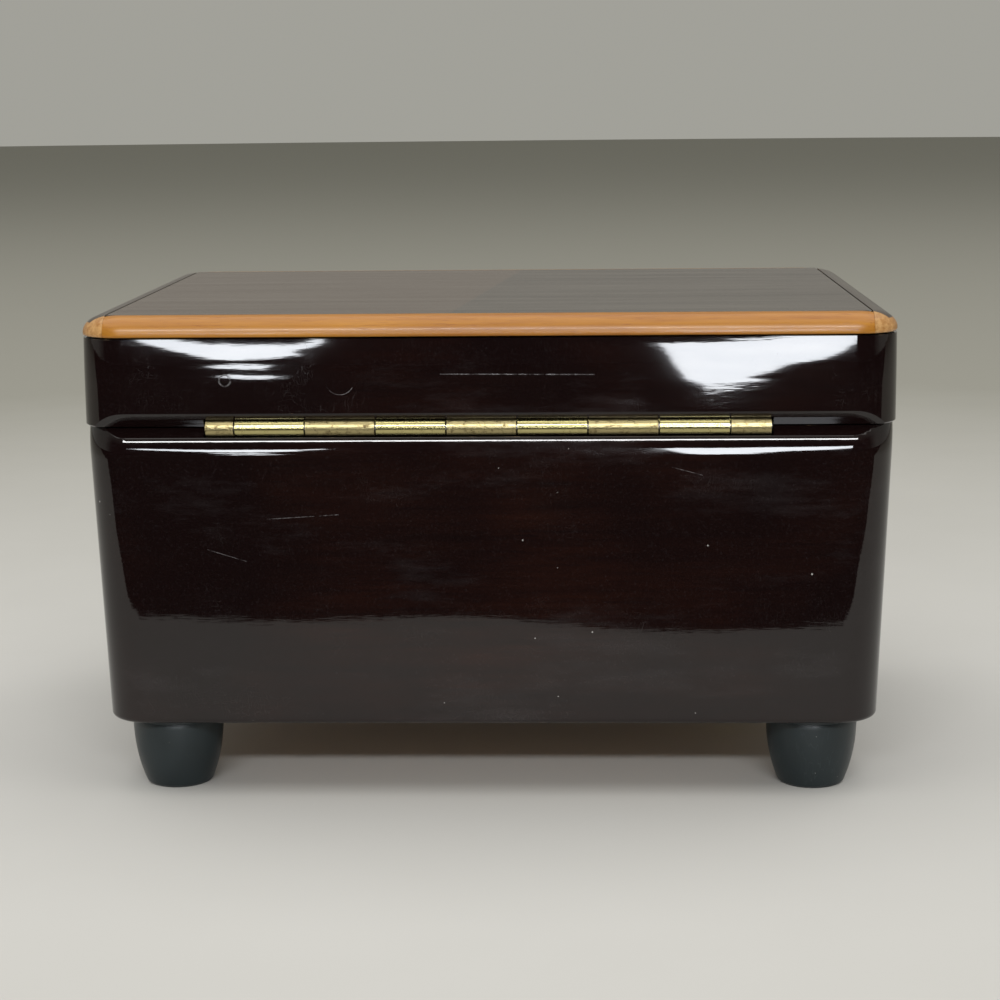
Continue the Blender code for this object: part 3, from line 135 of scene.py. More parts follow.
# %% Node helpers
def put(tree, kind, inputs=None, **settings):
    node = tree.nodes.new(kind)
    for key, value in settings.items():
        setattr(node, key, value)
    for key, value in (inputs or {}).items():
        if isinstance(value, bpy.types.NodeSocket):
            tree.links.new(value, node.inputs[key])
        else:
            node.inputs[key].default_value = value
    return node


def math_node(tree, operation, first, second=0.0, third=0.0, clamp=False):
    inputs = {0: first, 1: second, 2: third}
    return put(tree, "ShaderNodeMath", inputs, operation=operation, use_clamp=clamp).outputs[0]


def ramp(tree, value, low, high, to_low=0.0, to_high=1.0):
    inputs = {"Value": value, "From Min": low, "From Max": high, "To Min": to_low, "To Max": to_high}
    return put(tree, "ShaderNodeMapRange", inputs, clamp=True).outputs["Result"]


def blend_colour(tree, share, first, second):
    node = put(tree, "ShaderNodeMix", data_type="RGBA", blend_type="MIX")
    for key, value in ((0, share), (6, first), (7, second)):
        if isinstance(value, bpy.types.NodeSocket):
            tree.links.new(value, node.inputs[key])
        elif key == 0:
            node.inputs[key].default_value = value
        else:
            node.inputs[key].default_value = (*value, 1.0)
    return node.outputs[2]


def stretched(tree, vector, scale):
    return put(tree, "ShaderNodeMapping", {"Vector": vector, "Scale": scale}).outputs["Vector"]


def noise(tree, vector, scale, detail=3.0, rough=0.55):
    inputs = {"Vector": vector, "Scale": scale, "Detail": detail, "Roughness": rough}
    return put(tree, "ShaderNodeTexNoise", inputs).outputs["Fac"]


def new_group(name, inputs, outputs):
    group = bpy.data.node_groups.new(name, "ShaderNodeTree")
    for label, kind, start in inputs:
        socket = group.interface.new_socket(label, in_out="INPUT", socket_type=kind)
        if start is not None:
            socket.default_value = start
    for label, kind in outputs:
        group.interface.new_socket(label, in_out="OUTPUT", socket_type=kind)
    entry, leave = group.nodes.new("NodeGroupInput"), group.nodes.new("NodeGroupOutput")
    return group, entry.outputs, leave.inputs


def use_group(tree, group, inputs):
    return put(tree, "ShaderNodeGroup", inputs, node_tree=group).outputs


# %% [markdown]
# ## Shared effects
# Wood grain is noise drawn out along one direction. Dust is a scatter of tiny round specks.
# Scratches are very thin bands of stretched noise. Edge wear compares a rounded normal with the
# true one, so it finds the edges whatever the shape.

# %% Grain, dust, scratches and edge wear
FLOAT, VECTOR = "NodeSocketFloat", "NodeSocketVector"

grain, g_in, g_out = new_group(
    "grain",
    [("Vector", VECTOR, None), ("Stretch", VECTOR, (40, 900, 900)), ("Pores", FLOAT, 0.5)],
    [("Tone", FLOAT), ("Height", FLOAT)],
)
along = stretched(grain, g_in["Vector"], (1, 1, 1))
grain.links.new(g_in["Stretch"], along.node.inputs["Scale"])
broad = noise(grain, along, 0.35, 4.0)
fine = noise(grain, along, 1.6, 3.0, 0.7)
pores = ramp(grain, noise(grain, along, 4.0, 2.0, 0.7), 0.60, 0.72)
tone = math_node(grain, "MULTIPLY_ADD", broad, 0.6, math_node(grain, "MULTIPLY", fine, 0.4))
dark = math_node(grain, "MULTIPLY", pores, g_in["Pores"])
grain.links.new(math_node(grain, "SUBTRACT", tone, math_node(grain, "MULTIPLY", dark, 0.4)), g_out["Tone"])
grain.links.new(math_node(grain, "SUBTRACT", fine, dark), g_out["Height"])

dust, g_in, g_out = new_group(
    "dust",
    [("Vector", VECTOR, None), ("Scale", FLOAT, 260.0), ("Amount", FLOAT, 0.1)],
    [("Specks", FLOAT)],
)
cells = put(dust, "ShaderNodeTexVoronoi", {"Vector": g_in["Vector"], "Scale": g_in["Scale"]})
lucky = put(dust, "ShaderNodeSeparateColor", {"Color": cells.outputs["Color"]}).outputs
chosen = math_node(dust, "LESS_THAN", lucky[0], g_in["Amount"])
size = math_node(dust, "MULTIPLY_ADD", lucky[1], 0.07, 0.03)
round_speck = math_node(dust, "LESS_THAN", cells.outputs["Distance"], size)
dust.links.new(math_node(dust, "MULTIPLY", chosen, round_speck), g_out["Specks"])

scratches, g_in, g_out = new_group(
    "scratches",
    [("Vector", VECTOR, None), ("Stretch", VECTOR, (900, 900, 60)), ("Thin", FLOAT, 0.01)],
    [("Lines", FLOAT)],
)
drawn = stretched(scratches, g_in["Vector"], (1, 1, 1))
scratches.links.new(g_in["Stretch"], drawn.node.inputs["Scale"])
band = math_node(scratches, "SUBTRACT", noise(scratches, drawn, 1.0, 1.0), 0.5)
band = math_node(scratches, "ABSOLUTE", band)
line = math_node(scratches, "LESS_THAN", band, g_in["Thin"])
patches = ramp(scratches, noise(scratches, g_in["Vector"], 70.0, 2.0), 0.52, 0.68)
scratches.links.new(math_node(scratches, "MULTIPLY", line, patches), g_out["Lines"])

wear, g_in, g_out = new_group(
    "edge_wear",
    [("Vector", VECTOR, None), ("Radius", FLOAT, 0.0004), ("Reach", FLOAT, 0.08)],
    [("Edges", FLOAT)],
)
rounded = put(wear, "ShaderNodeBevel", {"Radius": g_in["Radius"]}, samples=4).outputs["Normal"]
true = put(wear, "ShaderNodeNewGeometry").outputs["Normal"]
compared = put(wear, "ShaderNodeVectorMath", {0: rounded, 1: true}, operation="DOT_PRODUCT")
turned_away = math_node(wear, "SUBTRACT", 1.0, compared.outputs["Value"])
broken = ramp(wear, noise(wear, g_in["Vector"], 420.0, 4.0, 0.7), 0.45, 0.62)
found = math_node(wear, "GREATER_THAN", turned_away, g_in["Reach"])
wear.links.new(math_node(wear, "MULTIPLY", found, broken), g_out["Edges"])
print("shared effects:", [g.name for g in bpy.data.node_groups])


# %% [markdown]
# ## A material's start
# Each finish begins with the object's own coordinates and one Principled shader. Constant values
# go straight on the shader, and only what changes over the surface is wired in.

# %% Start a finish
def start_finish(name, **shader_values):
    material = bpy.data.materials.new(name)
    material.use_nodes = True
    tree = material.node_tree
    tree.nodes.clear()
    place = put(tree, "ShaderNodeTexCoord").outputs["Object"]
    shader = put(tree, "ShaderNodeBsdfPrincipled")
    for key, value in shader_values.items():
        shader.inputs[key.replace("_", " ")].default_value = value
    put(tree, "ShaderNodeOutputMaterial", {"Surface": shader.outputs["BSDF"]})
    return material, tree, place, shader.inputs


def raise_surface(tree, height, distance, strength=1.0):
    inputs = {"Height": height, "Distance": distance, "Strength": strength}
    return put(tree, "ShaderNodeBump", inputs).outputs["Normal"]


# %% [markdown]
# ## Marks by place
# The box has a few marks of its own: a long hairline, a crescent and a ring on the lid's rear, and
# short lines on the base. They could be painted on a picture. Here each is the distance to a line
# or a circle on the rear wall, so that it stays sharp from near by.

# %% Marks on the rear wall
REAR_SIDE = 50.0 * MM


def metres(*values):
    return tuple(value * MM for value in values)


def on_rear(tree, axes, share):
    return math_node(tree, "MULTIPLY", share, math_node(tree, "GREATER_THAN", axes["Y"], REAR_SIDE))


def near_line(tree, place, start, end, half_width):
    """1 on a thin line from start to end, given as (x, z) with the smaller x first."""
    axes = put(tree, "ShaderNodeSeparateXYZ", {"Vector": place}).outputs
    slope = (end[1] - start[1]) / (end[0] - start[0])
    offset = math_node(tree, "SUBTRACT", axes["Z"], start[1] - slope * start[0])
    away = math_node(tree, "ABSOLUTE", math_node(tree, "MULTIPLY_ADD", axes["X"], -slope, offset))
    on = math_node(tree, "LESS_THAN", away, half_width)
    after = math_node(tree, "GREATER_THAN", axes["X"], start[0])
    before = math_node(tree, "LESS_THAN", axes["X"], end[0])
    inside = math_node(tree, "MULTIPLY", after, before)
    return on_rear(tree, axes, math_node(tree, "MULTIPLY", on, inside))


def near_arc(tree, place, middle, radius, half_width, below):
    """1 on the part of a circle round (x, z) that lies under the height below."""
    axes = put(tree, "ShaderNodeSeparateXYZ", {"Vector": place}).outputs
    across = math_node(tree, "SUBTRACT", axes["X"], middle[0])
    upward = math_node(tree, "SUBTRACT", axes["Z"], middle[1])
    offset = put(tree, "ShaderNodeCombineXYZ", {"X": across, "Z": upward}).outputs[0]
    distance = put(tree, "ShaderNodeVectorMath", {0: offset}, operation="LENGTH").outputs["Value"]
    away = math_node(tree, "ABSOLUTE", math_node(tree, "SUBTRACT", distance, radius))
    on = math_node(tree, "LESS_THAN", away, half_width)
    under = math_node(tree, "LESS_THAN", axes["Z"], below)
    return on_rear(tree, axes, math_node(tree, "MULTIPLY", on, under))


# In millimetres: a line's two ends and half width, and an arc's middle, radius, half width and the
# height that it stays under. The ring is whole, so its height is the box's own top.
LID_LINES = (((-19.2, 78.7), (8.3, 78.9), 0.09),)
LID_ARCS = (((26.2, 77.9), 2.6, 0.07, 76.6), ((46.8, 77.9), 1.0, 0.14, 89.4))
BASE_LINES = (
    ((27.0, 53.4), (40.0, 52.6), 0.07),
    ((44.0, 44.8), (51.0, 47.0), 0.06),
    ((-38.5, 60.4), (-33.0, 61.9), 0.06),
)
print("marks:", len(LID_LINES + LID_ARCS), "on the lid,", len(BASE_LINES), "on the base")

# %% [markdown]
# ## The lacquer
# Dark lacquer is nearly black, with the red-brown wood just visible where light goes in, and it
# shows every speck and hairline. It could be one flat glossy black, but that looks like plastic. A
# slow waviness, drawn out along the wall, makes the reflections' edges ragged and streaky, as on a
# hand-rubbed finish.

# %% Lacquer
DARK_WOOD, RED_WOOD = (0.0065, 0.0030, 0.0030), (0.0230, 0.0075, 0.0048)
CHIP, DUST_COLOUR = (0.48, 0.33, 0.20), (0.42, 0.41, 0.40)


def make_lacquer(name, lines, arcs=()):
    material, tree, place, shader = start_finish(name, IOR=1.50, Roughness=0.05)
    wood = use_group(tree, grain, {"Vector": place, "Stretch": (55, 900, 900), "Pores": 0.3})
    patches = ramp(tree, noise(tree, place, 28.0, 2.0), 0.40, 0.75)
    reddish = math_node(tree, "MULTIPLY", ramp(tree, wood["Tone"], 0.35, 0.75), patches)
    colour = blend_colour(tree, reddish, DARK_WOOD, RED_WOOD)
    smudge = ramp(tree, noise(tree, stretched(tree, place, (0.35, 1, 1.5)), 60.0, 6.0, 0.72), 0.55, 0.85)
    colour = blend_colour(tree, math_node(tree, "MULTIPLY", smudge, 0.40), colour, (0.050, 0.044, 0.047))
    haze = ramp(tree, noise(tree, place, 2400.0, 3.0, 0.8), 0.56, 0.80)
    colour = blend_colour(tree, math_node(tree, "MULTIPLY", haze, 0.12), colour, (0.12, 0.11, 0.12))
    swirl = put(tree, "ShaderNodeTexNoise", {"Vector": place, "Scale": 90.0}).outputs["Color"]
    bent = put(tree, "ShaderNodeVectorMath", {0: swirl, 1: (0.006, 0.006, 0.006)}, operation="MULTIPLY")
    bent = put(tree, "ShaderNodeVectorMath", {0: place, 1: bent.outputs[0]}, operation="ADD").outputs[0]
    hair = use_group(tree, scratches, {"Vector": bent, "Stretch": (1900, 1900, 170), "Thin": 0.005})["Lines"]
    sideways = {"Vector": bent, "Stretch": (130, 1900, 1900), "Thin": 0.005}
    rubbed = use_group(tree, scratches, sideways)["Lines"]
    hairs = math_node(tree, "MULTIPLY", math_node(tree, "MAXIMUM", hair, rubbed), 0.3)
    colour = blend_colour(tree, math_node(tree, "MULTIPLY", hairs, 0.5), colour, (0.10, 0.09, 0.09))
    marks = [near_line(tree, place, metres(*start), metres(*end), half * MM) for start, end, half in lines]
    marks += [near_arc(tree, place, metres(*middle), *metres(*rest)) for middle, *rest in arcs]
    marked = marks[0]
    for mark in marks[1:]:
        marked = math_node(tree, "MAXIMUM", marked, mark)
    patchy = ramp(tree, noise(tree, place, 700.0, 3.0, 0.8), 0.38, 0.62)
    marked = math_node(tree, "MULTIPLY", marked, patchy)
    colour = blend_colour(tree, math_node(tree, "MULTIPLY", marked, 0.5), colour, (0.24, 0.23, 0.24))
    hairs = math_node(tree, "MAXIMUM", hairs, marked)
    specks = use_group(tree, dust, {"Vector": place, "Scale": 480.0, "Amount": 0.05})["Specks"]
    colour = blend_colour(tree, math_node(tree, "MULTIPLY", specks, 0.8), colour, DUST_COLOUR)
    chips = use_group(tree, wear, {"Vector": place, "Radius": 0.0003, "Reach": 0.10})["Edges"]
    few = ramp(tree, noise(tree, place, 95.0, 2.0), 0.60, 0.66)
    chips = math_node(tree, "MULTIPLY", chips, few)
    colour = blend_colour(tree, chips, colour, CHIP)
    tree.links.new(colour, shader["Base Color"])
    rough = math_node(tree, "MULTIPLY_ADD", hairs, 0.2, ramp(tree, smudge, 0, 1, 0.035, 0.16))
    rough = math_node(tree, "MULTIPLY_ADD", math_node(tree, "MAXIMUM", specks, chips), 0.5, rough)
    tree.links.new(rough, shader["Roughness"])
    wavy = noise(tree, stretched(tree, place, (0.10, 1, 1)), 210.0, 5.0, 0.65)
    normal = raise_surface(tree, wavy, 0.00004, 0.30)
    tree.links.new(normal, shader["Normal"])
    return material


lid_lacquer = make_lacquer("lid_lacquer", LID_LINES, LID_ARCS)
base_lacquer = make_lacquer("base_lacquer", BASE_LINES)
print("lacquer made")


# %% [markdown]
# ## The other woods
# The honey strip is one wood cut two ways: long grain on the straight runs, and a paler, busier end
# grain at the corners. The veneer is browner on one side of a slanting line across the lid's top, and
# laps over the side strips. All of them share the grain group, each with its own colours and stretch.

# %% Woods
def make_wood(name, light, deep, stretch, roughness, coat=0.0, pores=0.6, bump=0.00003):
    material, tree, place, shader = start_finish(name, IOR=1.5, Coat_Weight=coat, Coat_Roughness=0.06)
    wood = use_group(tree, grain, {"Vector": place, "Stretch": stretch, "Pores": pores})
    colour = blend_colour(tree, ramp(tree, wood["Tone"], 0.30, 0.68), deep, light)
    specks = use_group(tree, dust, {"Vector": place, "Scale": 420.0, "Amount": 0.03})["Specks"]
    colour = blend_colour(tree, math_node(tree, "MULTIPLY", specks, 0.5), colour, DUST_COLOUR)
    tree.links.new(colour, shader["Base Color"])
    tree.links.new(ramp(tree, wood["Tone"], 0.3, 0.7, roughness + 0.08, roughness), shader["Roughness"])
    tree.links.new(raise_surface(tree, wood["Height"], bump, 0.4), shader["Normal"])
    return material, tree, place, shader, colour


HONEY_LIGHT, HONEY_DEEP = (0.50, 0.215, 0.020), (0.31, 0.105, 0.007)
honey_long = make_wood("honey_long", HONEY_LIGHT, HONEY_DEEP, (45, 900, 900), 0.30, 0.12)[0]
BARE_LIGHT, BARE_DEEP = (0.46, 0.30, 0.17), (0.30, 0.17, 0.085)
bare_wood = make_wood("bare_wood", BARE_LIGHT, BARE_DEEP, (50, 700, 700), 0.55, 0.0, 0.8, 0.00008)[0]

VENEER_LIGHT, VENEER_DEEP, VENEER_STRETCH = (0.070, 0.050, 0.036), (0.030, 0.020, 0.015), (35, 700, 700)
VENEER_TONE_X, VENEER_LAP_Z, VENEER_LAP_Y = 1.5 * MM, 88.05 * MM, 50.9 * MM
END_GRAIN_FROM, END_GRAIN_FULL = 49.5 * MM, 51.5 * MM
veneer, tree, place, shader, colour = make_wood(
    "veneer", VENEER_LIGHT, VENEER_DEEP, VENEER_STRETCH, 0.20, 0.0, 0.5
)
axes = put(tree, "ShaderNodeSeparateXYZ", {"Vector": place}).outputs
# The veneer is browner on one side of a slanting line across the lid's top.
tone_line = math_node(tree, "MULTIPLY_ADD", axes["Y"], -0.10, axes["X"])
half = math_node(tree, "GREATER_THAN", tone_line, VENEER_TONE_X)
browner = blend_colour(tree, math_node(tree, "MULTIPLY", half, 0.5), colour, (0.095, 0.055, 0.034))
tree.links.new(browner, shader["Base Color"])

# The side strips are honey wood on their faces, end grain at the corners, and veneered on top.
SIDE_LIGHT, SIDE_DEEP = (0.52, 0.25, 0.055), (0.30, 0.12, 0.016)
honey_side, tree, place, shader, colour = make_wood(
    "honey_side", SIDE_LIGHT, SIDE_DEEP, (900, 50, 900), 0.30, 0.12
)
axes = put(tree, "ShaderNodeSeparateXYZ", {"Vector": place}).outputs
mottled = noise(tree, place, 900.0, 4.0, 0.8)
end_grain = blend_colour(tree, ramp(tree, mottled, 0.35, 0.65), (0.34, 0.14, 0.030), (0.66, 0.40, 0.17))
corner_share = ramp(tree, math_node(tree, "ABSOLUTE", axes["Y"]), END_GRAIN_FROM, END_GRAIN_FULL)
colour = blend_colour(tree, math_node(tree, "MULTIPLY", corner_share, 0.7), colour, end_grain)
cover = use_group(tree, grain, {"Vector": place, "Stretch": VENEER_STRETCH, "Pores": 0.5})["Tone"]
cover = blend_colour(tree, ramp(tree, cover, 0.30, 0.68), VENEER_DEEP, VENEER_LIGHT)
on_top = math_node(tree, "GREATER_THAN", axes["Z"], VENEER_LAP_Z)
clear_of_corner = math_node(tree, "LESS_THAN", math_node(tree, "ABSOLUTE", axes["Y"]), VENEER_LAP_Y)
veneered = math_node(tree, "MULTIPLY", on_top, clear_of_corner)
tree.links.new(blend_colour(tree, veneered, colour, cover), shader["Base Color"])
print("woods made")


# %% [markdown]
# ## Foot paint
# The feet are turned wood under dark teal paint: satin, a little cloudy, with brush lines round the
# turning and dust in it. One colour would do, but the clouding keeps them from looking moulded.

# %% Foot paint
foot_paint, tree, place, shader = start_finish("foot_paint", IOR=1.48)
cloudy = noise(tree, place, 140.0, 4.0, 0.6)
colour = blend_colour(tree, cloudy, (0.006, 0.011, 0.013), (0.014, 0.024, 0.028))
brushed = use_group(tree, scratches, {"Vector": place, "Stretch": (900, 900, 120), "Thin": 0.012})["Lines"]
colour = blend_colour(tree, math_node(tree, "MULTIPLY", brushed, 0.25), colour, (0.05, 0.06, 0.065))
specks = use_group(tree, dust, {"Vector": place, "Scale": 700.0, "Amount": 0.10})["Specks"]
colour = blend_colour(tree, math_node(tree, "MULTIPLY", specks, 0.7), colour, DUST_COLOUR)
tree.links.new(colour, shader["Base Color"])
tree.links.new(ramp(tree, cloudy, 0.3, 0.7, 0.30, 0.46), shader["Roughness"])
tree.links.new(raise_surface(tree, cloudy, 0.00008, 0.5), shader["Normal"])
print("foot paint made")


# %% [markdown]
# ## Metals
# Brass and steel differ in colour and in how far they have tarnished, so one function makes them
# all: a drawn grain along the part, and darker spots where the polish has gone.

# %% Metals
def make_metal(name, light, deep, roughness, mottling, stretch, bump):
    material, tree, place, shader = start_finish(name, Metallic=1.0)
    drawn = noise(tree, stretched(tree, place, stretch), 1.0, 3.0, 0.6)
    spots = ramp(tree, noise(tree, place, 900.0, 4.0, 0.75), 0.52, 0.66)
    tarnish = math_node(tree, "MULTIPLY", spots, mottling)
    colour = blend_colour(tree, drawn, light, tuple(c * 0.82 for c in light))
    colour = blend_colour(tree, tarnish, colour, deep)
    tree.links.new(colour, shader["Base Color"])
    polish = ramp(tree, drawn, 0.3, 0.7, roughness, roughness + 0.1)
    rough = math_node(tree, "MULTIPLY_ADD", tarnish, 0.30, polish)
    tree.links.new(rough, shader["Roughness"])
    height = math_node(tree, "SUBTRACT", drawn, tarnish)
    tree.links.new(raise_surface(tree, height, bump, 0.4), shader["Normal"])
    return material


METALS = {
    "shiny_brass": ((0.60, 0.53, 0.24), (0.22, 0.16, 0.06), 0.17, 0.30, (30, 1500, 1500), 0.00002),
    "worn_brass": ((0.50, 0.42, 0.21), (0.13, 0.09, 0.04), 0.28, 0.90, (60, 1200, 1200), 0.00005),
    "plate_brass": ((0.74, 0.60, 0.26), (0.40, 0.28, 0.09), 0.20, 0.20, (90, 900, 900), 0.00002),
    "bright_steel": ((0.62, 0.62, 0.63), (0.25, 0.24, 0.23), 0.18, 0.18, (70, 1100, 1100), 0.00002),
    "spring_steel": ((0.34, 0.38, 0.46), (0.14, 0.15, 0.19), 0.22, 0.30, (60, 60, 900), 0.00002),
    "cast_zinc": ((0.44, 0.45, 0.46), (0.22, 0.22, 0.23), 0.42, 0.50, (500, 500, 500), 0.00008),
}
metals = {name: make_metal(name, *values) for name, values in METALS.items()}
shiny_brass, worn_brass, plate_brass = metals["shiny_brass"], metals["worn_brass"], metals["plate_brass"]
bright_steel = metals["bright_steel"]
print("metals made")

# %% [markdown]
# ## Nylon and the clear cover
# The air fly and its wheel are milky nylon, which lets a little light in. The cover over the
# movement is clear plastic, with a few hairlines and a smear where fingers lift it.

# %% Nylon and the clear cover
nylon, tree, place, shader = start_finish("nylon", IOR=1.53, Subsurface_Weight=0.15, Subsurface_Scale=0.001)
cloudy = noise(tree, place, 260.0, 3.0)
tree.links.new(blend_colour(tree, cloudy, (0.78, 0.75, 0.66), (0.86, 0.84, 0.78)), shader["Base Color"])
tree.links.new(ramp(tree, cloudy, 0.3, 0.7, 0.34, 0.46), shader["Roughness"])

clear_cover, tree, place, shader = start_finish("clear_cover", IOR=1.49, Transmission_Weight=1.0)
hair = use_group(tree, scratches, {"Vector": place, "Stretch": (300, 1500, 1500), "Thin": 0.006})["Lines"]
smear = ramp(tree, noise(tree, place, 45.0, 3.0), 0.45, 0.75)
tree.links.new(blend_colour(tree, smear, (0.97, 0.985, 0.98), (0.93, 0.95, 0.945)), shader["Base Color"])
rough = math_node(tree, "MULTIPLY_ADD", hair, 0.2, ramp(tree, smear, 0, 1, 0.01, 0.06))
tree.links.new(rough, shader["Roughness"])
print("nylon and clear cover made")

# %% [markdown]
# ## Velvet
# Velvet is dark seen straight on and pale at a slant, because its pile stands up. Sheen gives that.
# Broad soft patches show where the pile lies the other way, and fine noise gives the pile itself.

# %% Velvet
velvet, tree, place, shader = start_finish(
    "velvet", Roughness=0.9, Sheen_Weight=0.8, Sheen_Roughness=0.35, Sheen_Tint=(0.95, 0.30, 0.36, 1.0)
)
pile = noise(tree, place, 2600.0, 2.0, 0.8)
brushed = noise(tree, stretched(tree, place, (1, 1.6, 1)), 55.0, 3.0, 0.6)
colour = blend_colour(tree, brushed, (0.135, 0.006, 0.014), (0.30, 0.022, 0.040))
colour = blend_colour(tree, math_node(tree, "MULTIPLY", pile, 0.45), colour, (0.05, 0.002, 0.005))
tree.links.new(colour, shader["Base Color"])
tree.links.new(raise_surface(tree, pile, 0.00025, 0.8), shader["Normal"])
print("velvet made")


# %% [markdown]
# ## Helpers for shapes
# Most of the box is a ring with rounded corners, carried up through a profile. `lofted` joins such
# rings into one closed body. Booleans then cut the hollow, the V groove and the hinge's seat.

# %% Shape helpers
def link(name, mesh, material=None):
    made = bpy.data.objects.new(name, mesh)
    bpy.context.scene.collection.objects.link(made)
    if material:
        mesh.materials.append(material)
    return made


def built(name, bm, material):
    mesh = bpy.data.meshes.new(name)
    bm.to_mesh(mesh)
    bm.free()
    return link(name, mesh, material)


def ring(half_x, half_y, radius, z, steps=CORNER_STEPS):
    """A rounded rectangle's corners, anticlockwise, at height z."""
    radius = max(radius, LEAST_RADIUS)
    points = []
    for turn, (sx, sy) in enumerate(((1, 1), (-1, 1), (-1, -1), (1, -1))):
        for step in range(steps + 1):
            angle = math.pi / 2 * (turn + step / steps)
            x = sx * (half_x - radius) + radius * math.cos(angle)
            y = sy * (half_y - radius) + radius * math.sin(angle)
            points.append((x, y, z))
    return points


def lofted(name, rings, material):
    bm = bmesh.new()
    loops = [[bm.verts.new(p) for p in points] for points in rings]
    count = len(loops[0])
    for low, high in zip(loops, loops[1:]):
        for i in range(count):
            j = (i + 1) % count
            bm.faces.new((low[i], low[j], high[j], high[i]))
    bm.faces.new(reversed(loops[0]))
    bm.faces.new(loops[-1])
    return built(name, bm, material)


def block(name, low, high, material=None):
    bm = bmesh.new()
    low, high = Vector(low), Vector(high)
    middle = Matrix.Translation((low + high) / 2)
    bmesh.ops.create_cube(bm, size=1, matrix=middle @ Matrix.Diagonal((*(high - low), 1)))
    return built(name, bm, material)


def prism_along_x(name, outline, x_low, x_high, material=None):
    bm = bmesh.new()
    ends = [[bm.verts.new((x, y, z)) for y, z in outline] for x in (x_low, x_high)]
    for i in range(len(outline)):
        j = (i + 1) % len(outline)
        bm.faces.new((ends[0][i], ends[0][j], ends[1][j], ends[1][i]))
    bm.faces.new(reversed(ends[0]))
    bm.faces.new(ends[1])
    bmesh.ops.recalc_face_normals(bm, faces=bm.faces)
    return built(name, bm, material)


def circle_outline(radius, middle, sides):
    turns = [2 * math.pi * i / sides for i in range(sides)]
    return [(middle[0] + radius * math.cos(t), middle[1] + radius * math.sin(t)) for t in turns]


def spun(name, profile, place, sides, material):
    """A closed turned piece. Its profile of (radius, height) starts and ends on the axis."""
    bm = bmesh.new()
    rows = []
    for radius, z in profile:
        if radius == 0:
            rows.append([bm.verts.new((place[0], place[1], place[2] + z))])
            continue
        turns = [2 * math.pi * i / sides for i in range(sides)]
        rows.append([
            bm.verts.new((place[0] + radius * math.cos(t), place[1] + radius * math.sin(t), place[2] + z))
            for t in turns
        ])
    for upper, lower in zip(rows, rows[1:]):
        for i in range(sides):
            j = (i + 1) % sides
            pairs = ((upper, i), (lower, i), (lower, j), (upper, j))
            corners = [row[k % len(row)] for row, k in pairs]
            unique = [v for k, v in enumerate(corners) if v not in corners[:k]]
            bm.faces.new(unique)
    bmesh.ops.recalc_face_normals(bm, faces=bm.faces)
    return built(name, bm, material)


def apply_modifiers(piece):
    graph = bpy.context.evaluated_depsgraph_get()
    graph.update()
    mesh = bpy.data.meshes.new_from_object(piece.evaluated_get(graph), depsgraph=graph)
    piece.modifiers.clear()
    old = piece.data
    piece.data = mesh
    mesh.name = piece.name
    bpy.data.meshes.remove(old)


def carve(piece, tools, operation="DIFFERENCE"):
    for tool in tools:
        step = piece.modifiers.new(tool.name, "BOOLEAN")
        step.operation, step.object, step.solver = operation, tool, "EXACT"
    apply_modifiers(piece)
    for tool in tools:
        bpy.data.objects.remove(tool)
    finish = piece.data.materials[0] if piece.data.materials else None
    piece.data.materials.clear()
    if finish:
        piece.data.materials.append(finish)
    for face in piece.data.polygons:
        face.material_index = 0


def shade(piece, degrees=30, weigh=True):
    piece.data.shade_smooth()
    piece.data.set_sharp_from_angle(angle=math.radians(degrees))
    if weigh:
        step = piece.modifiers.new("weigh", "WEIGHTED_NORMAL")
        step.keep_sharp = True
        apply_modifiers(piece)


def stand_for(piece, body, slot, *replaced):
    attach(piece, body)
    if replaced:
        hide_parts(*replaced)
    print(piece.name, len(piece.data.polygons), "faces, rides on", body)


# %% [markdown]
# ## The lacquered base
# The four walls are mitred and lacquered as one, so one skin stands for all four. The walls lean in
# towards the bottom, the bottom edge is eased, and the top edge rolls over gently before it meets
# the V groove. That roll is what draws the two thin highlights under the hinge.

# %% Base walls
BOTTOM_EASE, BASE_ROLL_HEIGHT, BASE_ROLL_RADIUS = 1.0 * MM, 5.45 * MM, 10.0 * MM
BASE_GROOVE_HEIGHT, BASE_GROOVE_DEPTH, HOLE_SPARE = 1.9 * MM, 2.0 * MM, 1.0 * MM
EASE_STEPS, ROLL_STEPS = 6, 10
BOX_SIDES = ("front", "rear", "left", "right")


# The rolled face stands back at the groove, so the groove is cut as much further in.
BASE_GROOVE_BACK = 0.55 * MM


def base_rings():
    rings = []
    for step in range(EASE_STEPS + 1):
        angle = math.pi / 2 * step / EASE_STEPS
        inset = BOTTOM_EASE * (1 - math.sin(angle))
        z = FOOT_TOP + BOTTOM_EASE * (1 - math.cos(angle))
        rings.append(outer_ring(z, inset, inset))
    roll_start = BASE_TOP - BASE_ROLL_HEIGHT
    rings.append(outer_ring((FOOT_TOP + roll_start) / 2, 0, 0))
    for step in range(ROLL_STEPS + 1):
        rise = BASE_ROLL_HEIGHT * step / ROLL_STEPS
        inset = BASE_ROLL_RADIUS - math.sqrt(BASE_ROLL_RADIUS ** 2 - rise ** 2)
        rings.append(outer_ring(roll_start + rise, 0, inset))
    return rings


def outer_ring(z, inset_x, inset_y):
    lean = LEAN * (BASE_TOP - z) / (BASE_TOP - FOOT_TOP)
    return ring(BASE_HALF[0] - lean - inset_x, BASE_HALF[1] - lean - inset_y, CORNER - inset_x, z)


def groove(name, rear, edge_z, height, depth):
    low = (rear - depth * 1.5, edge_z - height / 2)
    high = (rear + depth / 2, edge_z + height * 1.5)
    return prism_along_x(name, [low, (high[0], low[1]), high], -BEYOND, BEYOND)


